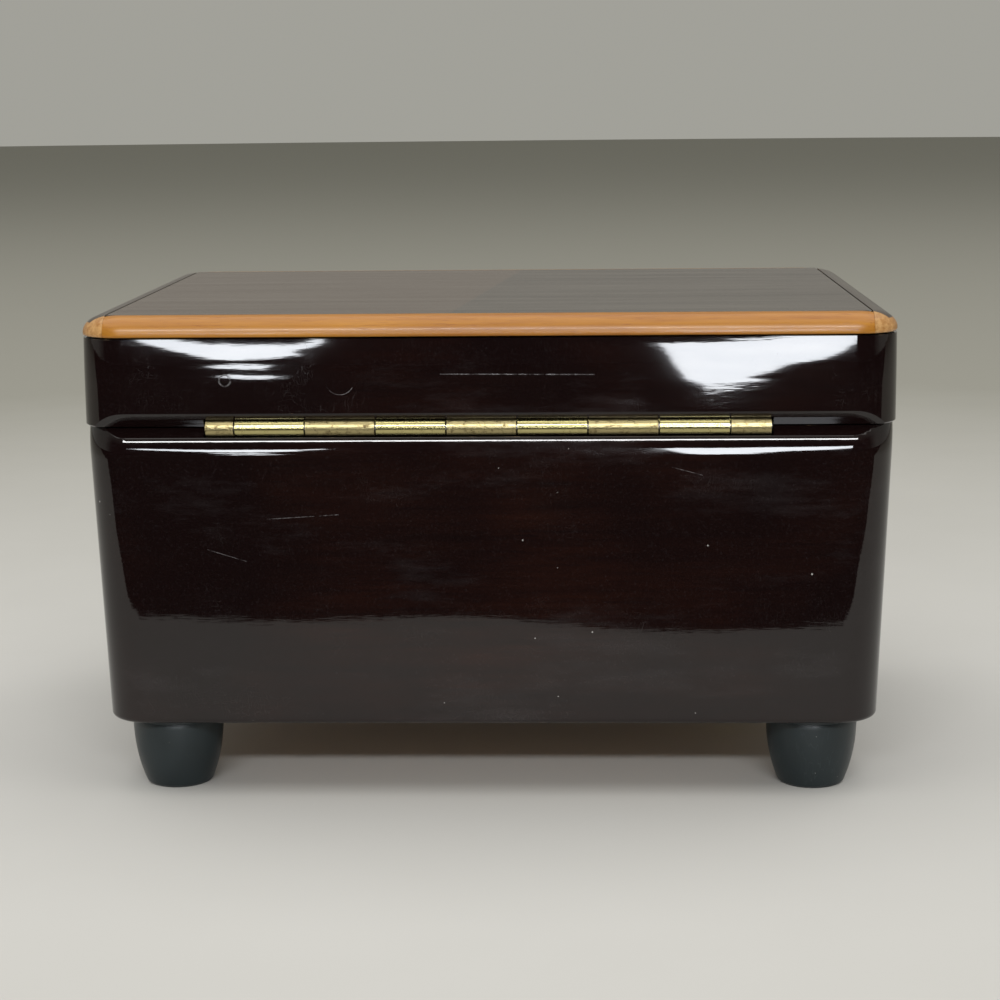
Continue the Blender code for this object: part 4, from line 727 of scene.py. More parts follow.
def hinge_seat(name, up):
    """The room that the barrel and one leaf need."""
    swing = BARREL_RADIUS + GAP
    end = BARREL_HALF + GAP
    channel = prism_along_x(name + "_channel", circle_outline(swing, (HINGE_Y, SEAM), 32), -end, end)
    near = SEAM - up * OVERRUN
    far = SEAM + up * (SEAM_HALF_GAP + LEAF_THICKNESS + GAP)
    rebate = block(
        name + "_rebate",
        (-end, HINGE_Y - LEAF_WIDTH - GAP, min(near, far)),
        (end, HINGE_Y, max(near, far)),
    )
    return [channel, rebate]


def screw_holes(name, up):
    """Two countersunk holes, a little wider than the hinge's screws, from the seam's face."""
    head, shank, end = HINGE_HEAD + SCREW_ROOM, HINGE_SHANK + SCREW_ROOM, HINGE_SCREW + HOLE_SPARE
    rows = ((0, -SCREW_ROOM), (head, -SCREW_ROOM), (head, 0), (shank, LEAF_THICKNESS), (shank, end), (0, end))
    face = SEAM + up * SEAM_HALF_GAP
    profile = [(radius, up * depth) for radius, depth in rows]
    places = ((x, HINGE_SCREW_Y, face) for x in (-HINGE_SCREW_X, HINGE_SCREW_X))
    return [spun(f"{name}_hole_{i}", profile, place, 40, None) for i, place in enumerate(places)]


base_shell = lofted("base_walls", base_rings(), base_lacquer)
hollow = block("base_hollow", (-INNER[0], -INNER[1], FOOT_TOP - OVERRUN), (*INNER, BASE_TOP + OVERRUN))
groove_rear = BASE_HALF[1] - BASE_GROOVE_BACK
v_groove = groove("base_groove", groove_rear, BASE_TOP, -BASE_GROOVE_HEIGHT, BASE_GROOVE_DEPTH)
carve(base_shell, [hollow, v_groove, *hinge_seat("base", -1), *screw_holes("base", -1)])
shade(base_shell)
stand_for(base_shell, "casing", "dark_lacquer", *(f"base_{side}_wall" for side in BOX_SIDES))

# %% [markdown]
# ## The lid's lacquered frame
# The rails are straight, but polished a little fuller in the middle than at the top, so a bright
# reflection runs out in a curve under the honey strip. Their edges at the seam are just broken.

# %% Lid rails
LID_ROLL_HEIGHT, LID_ROLL_RADIUS, SEAM_EASE = 8.3 * MM, 73.0 * MM, 0.25 * MM
LID_GROOVE_HEIGHT, LID_GROOVE_DEPTH = 2.6 * MM, 2.3 * MM


def lid_rings():
    half_x, half_y = LID_HALF
    rings = [ring(half_x - SEAM_EASE, half_y - SEAM_EASE, CORNER - SEAM_EASE, LID_LOW)]
    rings.append(ring(half_x, half_y, CORNER, LID_LOW + SEAM_EASE))
    start = RAIL_TOP - LID_ROLL_HEIGHT
    for step in range(ROLL_STEPS + 1):
        rise = LID_ROLL_HEIGHT * step / ROLL_STEPS
        inset = LID_ROLL_RADIUS - math.sqrt(LID_ROLL_RADIUS ** 2 - rise ** 2)
        rings.append(ring(half_x, half_y - inset, CORNER, start + rise))
    return rings


lid_shell = lofted("lid_rails", lid_rings(), lid_lacquer)
hollow = block("lid_hollow", (-INNER[0], -INNER[1], LID_LOW - OVERRUN), (*INNER, RAIL_TOP + OVERRUN))
v_groove = groove("lid_groove", LID_HALF[1], LID_LOW, LID_GROOVE_HEIGHT, LID_GROOVE_DEPTH)
carve(lid_shell, [hollow, v_groove, *hinge_seat("lid", 1), *screw_holes("lid", 1)])
shade(lid_shell)
stand_for(lid_shell, "lid", "dark_lacquer", *(f"lid_{side}_rail" for side in BOX_SIDES))

# %% [markdown]
# ## The honey strips
# Four lengths of hardwood, rounded on their outer edge. The two side lengths run the full depth and
# carry the corners, and the front and rear lengths butt between them, as the photograph shows.

# %% Edging
STRIP_ROUND_HEIGHT, STRIP_ROUND_SIDE, STRIP_ROUND_END = 3.25 * MM, 5.0 * MM, 3.4 * MM
STRIP_FOOT, BUTT_JOINT, STRIP_STEPS, FOOT_STEPS = 0.45 * MM, 0.04 * MM, 14, 5


def strip_ring(z, share_x, share_y):
    radius = CORNER - (share_x + share_y) / 2
    return ring(LID_HALF[0] - share_x, LID_HALF[1] - share_y, radius, z)


def strip_rings():
    rings = []
    for step in range(FOOT_STEPS):
        angle = math.pi / 2 * step / FOOT_STEPS
        inset = STRIP_FOOT * (1 - math.sin(angle))
        rings.append(strip_ring(STRIP_LOW + STRIP_FOOT * (1 - math.cos(angle)), inset, inset))
    for step in range(STRIP_STEPS + 1):
        angle = math.pi / 2 * step / STRIP_STEPS
        z = TOP - STRIP_ROUND_HEIGHT + STRIP_ROUND_HEIGHT * math.sin(angle)
        away = 1 - math.cos(angle)
        rings.append(strip_ring(z, STRIP_ROUND_SIDE * away, STRIP_ROUND_END * away))
    return rings


butt_x, inner_y = LID_HALF[0] - SIDE_STRIP, LID_HALF[1] - REAR_STRIP
between = butt_x - BUTT_JOINT
zones = {
    "left": ((-BEYOND, -BEYOND), (-butt_x, BEYOND), honey_side),
    "right": ((butt_x, -BEYOND), (BEYOND, BEYOND), honey_side),
    "front": ((-between, -BEYOND), (between, -inner_y), honey_long),
    "rear": ((-between, inner_y), (between, BEYOND), honey_long),
}
for side, (low, high, wood) in zones.items():
    strip = lofted(f"edging_{side}", strip_rings(), wood)
    zone = block(f"zone_{side}", (*low, STRIP_LOW - OVERRUN), (*high, TOP + OVERRUN))
    carve(strip, [zone], "INTERSECT")
    shade(strip)
    stand_for(strip, "lid", "honey_wood", f"edge_strip_{side}")

# %% [markdown]
# ## The piano hinge
# Nine knuckles on one pin, alternately on the base's leaf and the lid's. They repeat at a set pitch,
# so a Geometry Nodes tree, built the same way for each leaf, places them along the axis. The lid's
# knuckles are bright and the base's are speckled, which is how the photograph tells them apart.

# %% Knuckles
TAB_REACH, LEAF_EASE, KNUCKLES = 0.9 * MM, 0.09 * MM, 9


def knuckle_tree():
    tree = bpy.data.node_groups.new("knuckles", "GeometryNodeTree")
    face = tree.interface
    face.new_socket("Geometry", in_out="INPUT", socket_type="NodeSocketGeometry")
    face.new_socket("Radius", in_out="INPUT", socket_type="NodeSocketFloat")
    face.new_socket("Finish", in_out="INPUT", socket_type="NodeSocketMaterial")
    face.new_socket("Geometry", in_out="OUTPUT", socket_type="NodeSocketGeometry")
    entry, leave = tree.nodes.new("NodeGroupInput"), tree.nodes.new("NodeGroupOutput")
    length = put(tree, "GeometryNodeInputNamedAttribute", {"Name": "length"}, data_type="FLOAT").outputs[0]
    tube = put(
        tree,
        "GeometryNodeMeshCylinder",
        {"Vertices": 48, "Side Segments": 1, "Radius": entry.outputs["Radius"], "Depth": 1.0},
        fill_type="NGON",
    )
    turned = {"Geometry": tube.outputs["Mesh"], "Rotation": (0, math.pi / 2, 0)}
    laid = put(tree, "GeometryNodeTransform", turned)
    scale = put(tree, "ShaderNodeCombineXYZ", {"X": length, "Y": 1.0, "Z": 1.0}).outputs[0]
    spread = put(
        tree,
        "GeometryNodeInstanceOnPoints",
        {"Points": entry.outputs["Geometry"], "Instance": laid.outputs["Geometry"], "Scale": scale},
    )
    real = put(tree, "GeometryNodeRealizeInstances", {"Geometry": spread.outputs["Instances"]})
    done = put(
        tree,
        "GeometryNodeSetMaterial",
        {"Geometry": real.outputs["Geometry"], "Material": entry.outputs["Finish"]},
    )
    tree.links.new(done.outputs["Geometry"], leave.inputs["Geometry"])
    return tree


def knuckle_spans():
    ends = [-BARREL_HALF, -BARREL_HALF + FIRST_KNUCKLE]
    while len(ends) < KNUCKLES:
        ends.append(ends[-1] + KNUCKLE_PITCH)
    ends.append(BARREL_HALF)
    return list(zip(ends, ends[1:]))


def make_leaf(name, up, first, finish):
    tree = knuckle_tree()
    spans = knuckle_spans()[first::2]
    mesh = bpy.data.meshes.new(name)
    mesh.from_pydata([((a + b) / 2, HINGE_Y, SEAM) for a, b in spans], [], [])
    lengths = mesh.attributes.new("length", "FLOAT", "POINT")
    for item, (a, b) in zip(lengths.data, spans):
        item.value = b - a - GAP
    leaf = link(name, mesh)
    step = leaf.modifiers.new("knuckles", "NODES")
    step.node_group = tree
    sockets = {s.name: s.identifier for s in tree.interface.items_tree if s.in_out == "INPUT"}
    step[sockets["Radius"]] = BARREL_RADIUS
    step[sockets["Finish"]] = finish
    apply_modifiers(leaf)
    swing = BARREL_RADIUS + GAP
    near, far = SEAM + up * SEAM_HALF_GAP, SEAM + up * (SEAM_HALF_GAP + LEAF_THICKNESS)
    low_z, high_z = min(near, far), max(near, far)
    corner = (-BARREL_HALF, HINGE_Y - LEAF_WIDTH, low_z)
    joined = [block("plate", corner, (BARREL_HALF, HINGE_Y - swing, high_z))]
    for a, b in spans:
        low = (a + GAP / 2, HINGE_Y - swing - GAP, low_z)
        high = (b - GAP / 2, HINGE_Y - TAB_REACH, high_z)
        joined.append(block("tab", low, high))
    carve(leaf, joined, "UNION")
    carve(leaf, screw_holes(name, up))
    leaf.data.materials.clear()
    leaf.data.materials.append(finish)
    edges = leaf.modifiers.new("ease", "BEVEL")
    edges.width, edges.segments, edges.limit_method = LEAF_EASE, 2, "ANGLE"
    apply_modifiers(leaf)
    shade(leaf)
    return leaf


base_leaf = make_leaf("hinge_base", -1, 0, worn_brass)
lid_leaf = make_leaf("hinge_lid", 1, 1, shiny_brass)
stand_for(base_leaf, "casing", "hinge_brass", "hinge_leaf_base")
stand_for(lid_leaf, "lid", "hinge_brass", "hinge_leaf_lid")

# %% [markdown]
# ## The feet
# Turned feet under dark teal paint, wide at the top and drawn in to the floor on a full curve, with
# a fine turned line just under the box. The same outline is spun for all four.

# %% Feet
FOOT_TOP_RADIUS, FOOT_FLOOR_RADIUS, FOOT_CURVE = 8.55 * MM, 6.1 * MM, 2.4
FOOT_SIDES, FOOT_RINGS, FOOT_BODY_SHARE = 72, 28, 0.92
FOOT_RIM, FOOT_BAND, FOOT_LINE, FOOT_LINE_DEPTH = 0.30 * MM, 0.85 * MM, 1.00 * MM, 0.18 * MM
FOOT_BODY_IN, FOOT_FLOOR_EASE = 0.05 * MM, 0.35 * MM
FOOT_OUT_X, FOOT_OUT_Y = 59.7 * MM, 40.6 * MM


def foot_profile():
    top = FOOT_TOP - GAP
    rows = [(0, top), (FOOT_TOP_RADIUS - FOOT_RIM, top), (FOOT_TOP_RADIUS, top - FOOT_RIM)]
    rows += [(FOOT_TOP_RADIUS, top - FOOT_BAND), (FOOT_TOP_RADIUS - FOOT_LINE_DEPTH, top - FOOT_LINE)]
    for step in range(1, FOOT_RINGS + 1):
        share = (1 - step / FOOT_RINGS) * FOOT_BODY_SHARE
        fall = (FOOT_TOP_RADIUS - FOOT_FLOOR_RADIUS) * (1 - share) ** FOOT_CURVE
        rows.append((FOOT_TOP_RADIUS - FOOT_BODY_IN - fall, max(top * share, FOOT_FLOOR_EASE)))
    rows += [(FOOT_FLOOR_RADIUS - FOOT_FLOOR_EASE, 0), (0, 0)]
    return rows


for front, y in (("front", -FOOT_OUT_Y), ("rear", FOOT_OUT_Y)):
    for side, x in (("left", -FOOT_OUT_X), ("right", FOOT_OUT_X)):
        foot = spun(f"turned_foot_{front}_{side}", foot_profile(), (x, y, 0), FOOT_SIDES, foot_paint)
        shade(foot, 28, weigh=False)
        stand_for(foot, "casing", "foot_paint", f"foot_{front}_{side}")

# %% [markdown]
# ## The velvet lining
# The compartment's floor is a thin stuffed pad, and its walls and the lid are lined with velvet on
# card. Each is a low cushion: full in the middle, pulled in round its edge.

# %% Pads
PAD_EDGE_SHARE, PAD_SWELL = 0.12, 0.55


def cushion(name, low, high, flat_axis, out, swell, material, cells=26):
    """A crowned pad that fills the box from low to high, flat on the side away from out."""
    low, high = Vector(low), Vector(high)
    axes = [a for a in range(3) if a != flat_axis]
    base, front = (low, high) if out > 0 else (high, low)
    bm = bmesh.new()
    grids = []
    for layer in (0, 1):
        rows = []
        for i in range(cells + 1):
            row = []
            for j in range(cells + 1):
                u, v = i / cells, j / cells
                point = Vector((0, 0, 0))
                point[axes[0]] = low[axes[0]] + (high[axes[0]] - low[axes[0]]) * u
                point[axes[1]] = low[axes[1]] + (high[axes[1]] - low[axes[1]]) * v
                edge = min(u, 1 - u, v, 1 - v)
                crown = 1 - max(0.0, 1 - edge / PAD_EDGE_SHARE) ** 2
                depth = 0.0 if layer == 0 else (1 - swell) + swell * crown
                point[flat_axis] = base[flat_axis] + (front[flat_axis] - base[flat_axis]) * depth
                row.append(bm.verts.new(point))
            rows.append(row)
        grids.append(rows)
    for rows in grids:
        for i in range(cells):
            for j in range(cells):
                bm.faces.new((rows[i][j], rows[i + 1][j], rows[i + 1][j + 1], rows[i][j + 1]))
    rim = [(i, 0) for i in range(cells)] + [(cells, j) for j in range(cells)]
    rim += [(i, cells) for i in range(cells, 0, -1)] + [(0, j) for j in range(cells, 0, -1)]
    for (a, b), (c, d) in zip(rim, rim[1:] + rim[:1]):
        bm.faces.new((grids[0][a][b], grids[0][c][d], grids[1][c][d], grids[1][a][b]))
    bmesh.ops.recalc_face_normals(bm, faces=bm.faces)
    pad = built(name, bm, material)
    shade(pad, 50, weigh=False)
    return pad


pads = (
    ("storage_floor_pad", 2, 1, "casing"),
    ("storage_lining_front", 1, 1, "casing"),
    ("storage_lining_rear", 1, -1, "casing"),
    ("storage_lining_left", 0, 1, "casing"),
    ("storage_lining_right", 0, -1, "casing"),
    ("lid_lining", 2, -1, "lid"),
)
for node, axis, out, body in pads:
    low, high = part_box(node)
    pad = cushion(f"velvet_{node}", low, high, axis, out, PAD_SWELL, velvet)
    stand_for(pad, body, "velvet", node)

# %% [markdown]
# ## Screws
# The hinge is held by small countersunk screws, the comb by two round heads, and the movement by
# three more from underneath. Each kind is turned once and slotted, then a Geometry Nodes tree sets
# copies on points that carry their own turn, so that no two slots line up.

# %% Screws
def placing_tree():
    tree = bpy.data.node_groups.new("place_copies", "GeometryNodeTree")
    face = tree.interface
    face.new_socket("Geometry", in_out="INPUT", socket_type="NodeSocketGeometry")
    face.new_socket("Copy", in_out="INPUT", socket_type="NodeSocketObject")
    face.new_socket("Finish", in_out="INPUT", socket_type="NodeSocketMaterial")
    face.new_socket("Geometry", in_out="OUTPUT", socket_type="NodeSocketGeometry")
    entry, leave = tree.nodes.new("NodeGroupInput"), tree.nodes.new("NodeGroupOutput")
    copy = put(tree, "GeometryNodeObjectInfo", {"Object": entry.outputs["Copy"]})
    turn = put(tree, "GeometryNodeInputNamedAttribute", {"Name": "turn"}, data_type="FLOAT_VECTOR").outputs[0]
    rotation = put(tree, "FunctionNodeEulerToRotation", {"Euler": turn}).outputs[0]
    spread = put(
        tree,
        "GeometryNodeInstanceOnPoints",
        {"Points": entry.outputs["Geometry"], "Instance": copy.outputs["Geometry"], "Rotation": rotation},
    )
    real = put(tree, "GeometryNodeRealizeInstances", {"Geometry": spread.outputs["Instances"]})
    done = put(
        tree,
        "GeometryNodeSetMaterial",
        {"Geometry": real.outputs["Geometry"], "Material": entry.outputs["Finish"]},
    )
    tree.links.new(done.outputs["Geometry"], leave.inputs["Geometry"])
    return tree


PLACE_COPIES = placing_tree()


def place_copies(name, template, places, turns, finish):
    """Copies of the template at each place, each with its own turn, as one plain mesh."""
    mesh = bpy.data.meshes.new(name)
    mesh.from_pydata([tuple(p) for p in places], [], [])
    turning = mesh.attributes.new("turn", "FLOAT_VECTOR", "POINT")
    for item, turn in zip(turning.data, turns):
        item.vector = turn
    made = link(name, mesh)
    step = made.modifiers.new("copies", "NODES")
    step.node_group = PLACE_COPIES
    sockets = {s.name: s.identifier for s in PLACE_COPIES.interface.items_tree if s.in_out == "INPUT"}
    step[sockets["Copy"]] = template
    step[sockets["Finish"]] = finish
    apply_modifiers(made)
    bpy.data.objects.remove(template)
    return made


def slotted(name, profile, head_top, head_radius, slot_width, slot_depth, finish):
    screw = spun(name, profile, (0, 0, 0), 40, finish)
    low = (-head_radius * 1.2, -slot_width / 2, head_top - slot_depth)
    high = (head_radius * 1.2, slot_width / 2, head_top + slot_depth)
    carve(screw, [block(name + "_slot", low, high)])
    shade(screw, 35)
    return screw


def middle_of(node):
    low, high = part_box(node)
    return (low + high) / 2, low, high


THREAD_PITCH, THREAD_DEPTH, THREAD_RUN_OUT = 0.55 * MM, 0.09 * MM, 0.1 * MM
HINGE_SLOT_WIDTH, HINGE_SLOT_DEPTH = 0.32 * MM, 0.35 * MM
COMB_HEAD, COMB_SHANK, MOVEMENT_HEAD, MOVEMENT_SHANK = 1.1 * MM, 0.9 * MM, 1.4 * MM, 1.0 * MM
DOME_SHARES = ((0.45, 0.97), (0.75, 0.82), (0.93, 0.55), (1.0, 0.25))


def threaded(radius, top, bottom):
    """A screw's shank as a row of shallow ridges, from top down to bottom."""
    rows, z = [], top
    while z - THREAD_PITCH > bottom:
        rows += [(radius, z), (radius - THREAD_DEPTH, z - THREAD_PITCH / 2)]
        z -= THREAD_PITCH
    return rows + [(radius, z)]


def hinge_screw():
    rows = [(0, 0), (HINGE_HEAD, 0), (HINGE_SHANK, -LEAF_THICKNESS)]
    rows += threaded(HINGE_SHANK, -LEAF_THICKNESS - THREAD_PITCH, -HINGE_SCREW)
    rows += [(0, -HINGE_SCREW - HINGE_SHANK)]
    return slotted("hinge_screw", rows, 0, HINGE_HEAD, HINGE_SLOT_WIDTH, HINGE_SLOT_DEPTH, shiny_brass)


for part, body, z, over in (("base", "casing", BASE_TOP, 0), ("lid", "lid", LID_LOW, math.pi)):
    names = [f"hinge_screw_{part}_{side}" for side in ("left", "right")]
    places = [(*middle_of(n)[0].xy, z) for n in names]
    turns = [(over, 0, 0.5), (over, 0, 2.0)]
    screws = place_copies(f"hinge_screws_{part}", hinge_screw(), places, turns, shiny_brass)
    shade(screws, 35)
    stand_for(screws, body, "hinge_brass", *names)


def round_headed(name, radius, shank, head, length):
    """A slotted round head on a threaded shank, its underside at height 0."""
    rows = [(0, head)] + [(radius * out, head * up) for out, up in DOME_SHARES] + [(radius, 0), (shank, 0)]
    rows += threaded(shank, -THREAD_PITCH, THREAD_RUN_OUT - length)
    rows += [(shank * 0.7, -length), (0, -length)]
    return slotted(name, rows, head, radius, radius * 0.30, head * 0.45, bright_steel)


for kind, names, head_up, head, shank in (
    ("comb_screws", ("comb_screw_left", "comb_screw_right"), True, COMB_HEAD, COMB_SHANK),
    ("movement_screws", [f"movement_screw_{i}" for i in (1, 2, 3)], False, MOVEMENT_HEAD, MOVEMENT_SHANK),
):
    middle, low, high = middle_of(names[0])
    template = round_headed(kind + "_turned", (high.x - low.x) / 2, shank, head, high.z - low.z - head)
    seat = high.z - head if head_up else low.z + head
    places = [(*middle_of(n)[0].xy, seat) for n in names]
    turns = [(0 if head_up else math.pi, 0, 0.4 + 1.1 * i) for i in range(len(names))]
    screws = place_copies(kind, template, places, turns, bright_steel)
    shade(screws, 35)
    stand_for(screws, "casing", "steel", *names)

# %% [markdown]
# ## The pinned cylinder
# The tune is a brass tube with a short steel pin for each note. The tube is turned smooth with its
# end rims eased. The pins are taper pins, set by the same placing tree as the screws, each where the
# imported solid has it, so that the turning part keeps its tune.

# %% Cylinder and pins
low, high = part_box("cylinder")
axis = Vector(((low.x + high.x) / 2, 0, (low.z + high.z) / 2))
TUBE, BORE, PIN_FOOT, PIN_TIP = 6.5 * MM, 1.2 * MM, 0.21 * MM, 0.14 * MM
PIN_HALF, PIN_SINK, RIM_EASE = 0.4 * MM, 0.3 * MM, 0.25 * MM
tube = prism_along_x("cylinder_tube", circle_outline(TUBE, (axis.y, axis.z), 96), low.x, high.x, plate_brass)
bore_outline = circle_outline(BORE, (axis.y, axis.z), 40)
carve(tube, [prism_along_x("bore", bore_outline, low.x - OVERRUN, high.x + OVERRUN)])
rims = tube.modifiers.new("rims", "BEVEL")
rims.width, rims.segments, rims.limit_method, rims.angle_limit = RIM_EASE, 3, "ANGLE", math.radians(60)
apply_modifiers(tube)

NOTES, SAME_PIN = 18, 0.25
track_width = (high.x - low.x) / NOTES
corners = {}
for vertex in nodes["cylinder"].data.vertices:
    away = vertex.co - axis
    if math.hypot(away.y, away.z) < TUBE + PIN_HALF:
        continue
    track, angle = int((vertex.co.x - low.x) / track_width), math.atan2(away.y, away.z)
    same = [k for k in corners if k[0] == track and abs(math.remainder(k[1] - angle, math.tau)) < SAME_PIN]
    corners.setdefault(same[0] if same else (track, angle), []).append(vertex.co.copy())
tips = [sum(found, Vector()) / len(found) for found in corners.values()]
angles = [math.atan2(t.y - axis.y, t.z - axis.z) for t in tips]
reach = max(math.hypot(t.y - axis.y, t.z - axis.z) for t in tips)
taper = [(0, reach - TUBE), (PIN_TIP, reach - TUBE), (PIN_FOOT, -PIN_SINK), (0, -PIN_SINK)]
template = spun("pin", taper, (0, 0, 0), 12, bright_steel)
feet = [(t.x, axis.y + TUBE * math.sin(a), axis.z + TUBE * math.cos(a)) for t, a in zip(tips, angles)]
pins = place_copies("cylinder_pins", template, feet, [(-a, 0, 0) for a in angles], bright_steel)
bpy.ops.object.select_all(action="DESELECT")
for piece in (pins, tube):
    piece.select_set(True)
bpy.context.view_layer.objects.active = tube
bpy.ops.object.join()
tube.name = "pinned_cylinder"
shade(tube, 40, weigh=False)
stand_for(tube, "cylinder_train", "movement_brass", "cylinder")
print(len(tips), "pins")

# %% [markdown]
# ## Finishes on the solids that stay
# The movement's own parts, the floor and the ledges already have the right shape, so they keep
# their solids and get a made finish each, by the record's slots.

# %% Dress the rest
BY_SLOT = {
    "bare_wood": bare_wood, "steel": bright_steel, "movement_brass": plate_brass,
    "cast_zinc": metals["cast_zinc"], "nylon": nylon, "clear_plastic": clear_cover,
    "hinge_brass": worn_brass, "dark_veneer": veneer,
}
slots = {entry["node"]: entry["material_slot"] for entry in frame["record"]["subparts"]}
for name, node in nodes.items():
    finish = metals["spring_steel"] if name == "mainspring" else BY_SLOT.get(slots[name])
    if finish:
        node.data.materials.clear()
        node.data.materials.append(finish)
print("dressed", len(nodes), "solids")

# %% [markdown]
# ## The stage
# A pale floor carries the box. Its colour holds a painted pool of light: paler near the box and darker
# further out, towards the world's grey. A dark card on it, out of the camera's sight, keeps the upper
# part of the lacquer dark. The card's edge sways a little, so the floor's reflection on the base
# ends in a broken line.

# %% Floor and card
FLOOR_HALF, FLOOR_CORNER, FLOOR_THICKNESS = 6.0, 5.9, 0.002
floor_rings = [ring(FLOOR_HALF, FLOOR_HALF, FLOOR_CORNER, z) for z in (-FLOOR_THICKNESS, 0.0)]
floor = lofted("floor", floor_rings, None)
floor_paint, tree, place, shader = start_finish("floor_paint", Roughness=0.9, Specular_IOR_Level=0.1)
away = put(tree, "ShaderNodeVectorMath", {0: place}, operation="LENGTH").outputs["Value"]
soft = noise(tree, place, 30.0, 2.0)
# Painted pool of light: the floor is paler near the box and darker further out, with a little noise.
share = math_node(tree, "MULTIPLY_ADD", soft, 0.08, ramp(tree, away, 0.12, 0.60))
tree.links.new(blend_colour(tree, share, (0.60, 0.595, 0.58), (0.34, 0.335, 0.30)), shader["Base Color"])
floor.data.materials.append(floor_paint)

picker = random.Random(7)
CARD_START, CARD_HEIGHT, CARD_TEETH, EDGE_HALF = 0.158, 0.001, 1500, 0.6
SWAY_WIDE, SWAY_NARROW, FRAY = 0.005, 0.003, 0.0008
SLOW_WAVES, QUICK_WAVES = 27, 71
edge = []
for step in range(CARD_TEETH + 1):
    x = -EDGE_HALF + 2 * EDGE_HALF * step / CARD_TEETH
    sway = SWAY_WIDE * math.sin(SLOW_WAVES * x) + SWAY_NARROW * math.sin(QUICK_WAVES * x + 1)
    edge.append((x, CARD_START + sway + picker.uniform(-FRAY, FRAY), CARD_HEIGHT))
far = FLOOR_HALF
rim = ((far, CARD_START), (far, far), (-far, far), (-far, CARD_START))
outline = [(x, y, CARD_HEIGHT) for x, y in rim] + edge
mesh = bpy.data.meshes.new("card")
mesh.from_pydata(outline, [], [list(range(len(outline)))])
card = link("card", mesh)
card_paint, tree, place, shader = start_finish("card_paint", Roughness=1.0, Specular_IOR_Level=0.0)
smoke = blend_colour(tree, noise(tree, place, 3.0), (0.010, 0.008, 0.008), (0.020, 0.016, 0.015))
tree.links.new(smoke, shader["Base Color"])
card.data.materials.append(card_paint)
card.visible_camera = card.visible_diffuse = card.visible_shadow = card.visible_transmission = False
print("floor and card laid")

# %% [markdown]
# ## Lamps
# A large softbox overhead lights everything evenly. A long, thin lamp high behind the camera draws
# the bright line along the top of the base.

# %% Lamps
# Place, point aimed at, width and height in metres, power in watts and colour.
LAMPS = {
    "high_strip": ((0.0, 1.20, 0.625), (0.0, 0.05, 0.06), (1.0, 0.08), 8.0, (1.0, 1.0, 1.0)),
    "softbox": ((0.0, 0.0, 1.7), (0.0, 0.0, 0.0), (3.0, 2.4), 30.0, (1.0, 0.98, 0.95)),
}
for name, (place, aim, size, power, colour) in LAMPS.items():
    lamp = bpy.data.lights.new(name, "AREA")
    lamp.shape, (lamp.size, lamp.size_y) = "RECTANGLE", size
    lamp.energy, lamp.color = power, colour
    hung = bpy.data.objects.new(name, lamp)
    bpy.context.scene.collection.objects.link(hung)
    hung.location = place
    hung.rotation_euler = (Vector(aim) - Vector(place)).to_track_quat("-Z", "Y").to_euler()
print("lamps:", list(LAMPS))

# %% [markdown]
# ## Bright panes
# The lid's lacquer mirrors four white shapes. They could be painted on it, but then they would stay
# put when the view moves. So bright panes stand behind the camera. Their corners are read off the
# photograph, in pixels, and the line of sight through each is mirrored in the lid's rear rail. Where
# it then meets the panes' upright plane, the pane has its corner.

# %% Where a mirrored pixel lands
PANE_Y, MIRROR_STEPS = 650.0 * MM, 6


def on_pane(across, down):
    """The place on the panes' plane that the lid's rear rail shows at a pixel of the photograph."""
    half = FRAME_PIXELS / 2
    sight = camera_turn() @ Vector((across - half, half - down, -FOCAL_PIXELS))
    roll_start, inset = RAIL_TOP - LID_ROLL_HEIGHT, 0.0
    for _ in range(MIRROR_STEPS):
        met = CAMERA_PLACE + sight * ((LID_HALF[1] - inset - CAMERA_PLACE.y) / sight.y)
        rise = max(0.0, met.z - roll_start)
        inset = LID_ROLL_RADIUS - math.sqrt(LID_ROLL_RADIUS ** 2 - rise ** 2)
    lean = math.asin(rise / LID_ROLL_RADIUS)
    normal = Vector((0, math.cos(lean), math.sin(lean)))
    mirrored = sight - 2 * sight.dot(normal) * normal
    return met + mirrored * ((PANE_Y - met.y) / mirrored.y)


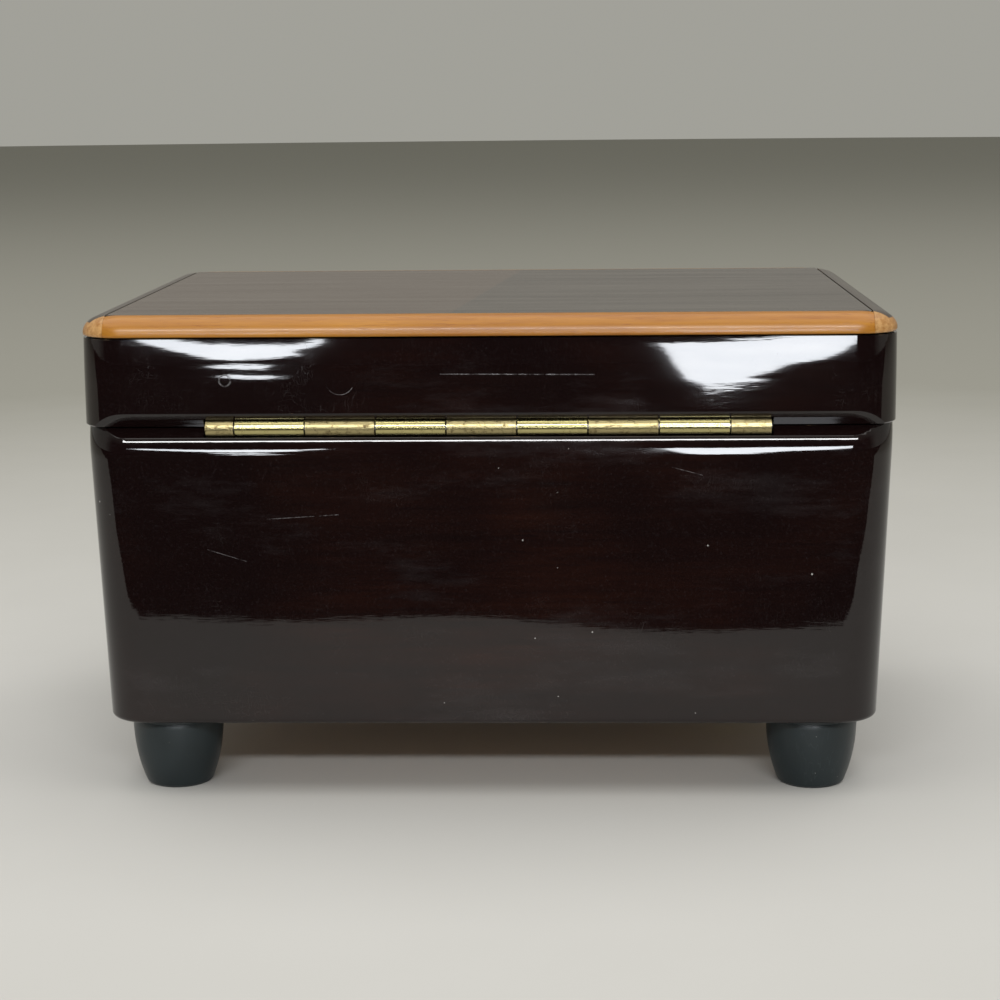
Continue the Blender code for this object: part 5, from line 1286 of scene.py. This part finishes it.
# %% Bright panes
# Each shape's corners in the photograph, in pixels from its left and from its top.
SHAPES = {
    "pane_left": (
        (123, 333.5), (155.5, 337.5), (181, 342), (210.5, 344), (294.5, 344), (322, 340), (322, 343), (306, 348),
        (292, 352), (300.5, 355), (268, 359), (235, 361), (210.5, 359), (194.5, 356), (168, 350), (137, 342),
    ),
    "pane_left_low": ((204.5, 366.5), (240, 364.5), (270, 364.5), (263.5, 370), (235, 369.5), (215, 368.5)),
    "pane_left_lowest": ((216, 376.5), (236, 374.5), (285, 376.5), (262, 379), (236, 378.5)),
    "pane_right": (
        (658, 343), (712, 342), (775.5, 339), (820.5, 336.5), (845.5, 333), (865.5, 328.5), (866, 335.5),
        (853, 346), (834.5, 356), (804, 362), (790, 363.5), (775.5, 370.5), (747, 377.5), (769.5, 380.5),
        (730.5, 384), (708, 387), (688, 380.5), (675.5, 364.5), (667.5, 352),
    ),
}
glow, tree, place, shader = start_finish("pane_glow", Emission_Strength=26.0, Roughness=1.0)
uneven = noise(tree, place, 24.0, 4.0, 0.7)
tree.links.new(blend_colour(tree, uneven, (0.70, 0.74, 0.80), (0.95, 0.97, 1.0)), shader["Emission Color"])
tree.links.new(blend_colour(tree, uneven, (0.0, 0.0, 0.0), (0.01, 0.01, 0.01)), shader["Base Color"])
for name, shape in SHAPES.items():
    mesh = bpy.data.meshes.new(name)
    outline = [on_pane(*pixel) for pixel in shape]
    mesh.from_pydata(outline, [], [list(range(len(outline)))])
    pane = link(name, mesh, glow)
    pane.visible_camera = pane.visible_shadow = pane.visible_diffuse = False
print("panes:", list(SHAPES), "reach", round(max(p.z for p in outline) / MM), "mm up")

# %% [markdown]
# ## The light all round
# The world is a plain warm grey, which also lights the object from all sides. Only for reflections,
# the part low down behind the camera is nearly black, which leaves the lid's middle dark.

# %% World
world = bpy.data.worlds.new("surroundings")
bpy.context.scene.world = world
world.use_nodes = True
tree = world.node_tree
toward = put(tree, "ShaderNodeTexCoord").outputs["Generated"]
axes = put(tree, "ShaderNodeSeparateXYZ", {"Vector": toward}).outputs
behind_camera = ramp(tree, axes["Y"], 0.30, 0.62)
below_lamps = ramp(tree, axes["Z"], 0.62, 0.30)
unlit = math_node(tree, "MULTIPLY", behind_camera, below_lamps)
seen = put(tree, "ShaderNodeLightPath").outputs["Is Glossy Ray"]
unlit = math_node(tree, "MULTIPLY", unlit, seen)
all_round = blend_colour(tree, unlit, (0.36, 0.355, 0.32), (0.016, 0.012, 0.013))
tree.links.new(all_round, tree.nodes["Background"].inputs["Color"])
bpy.context.scene.view_settings.view_transform = "Standard"
print("world:", world.name)
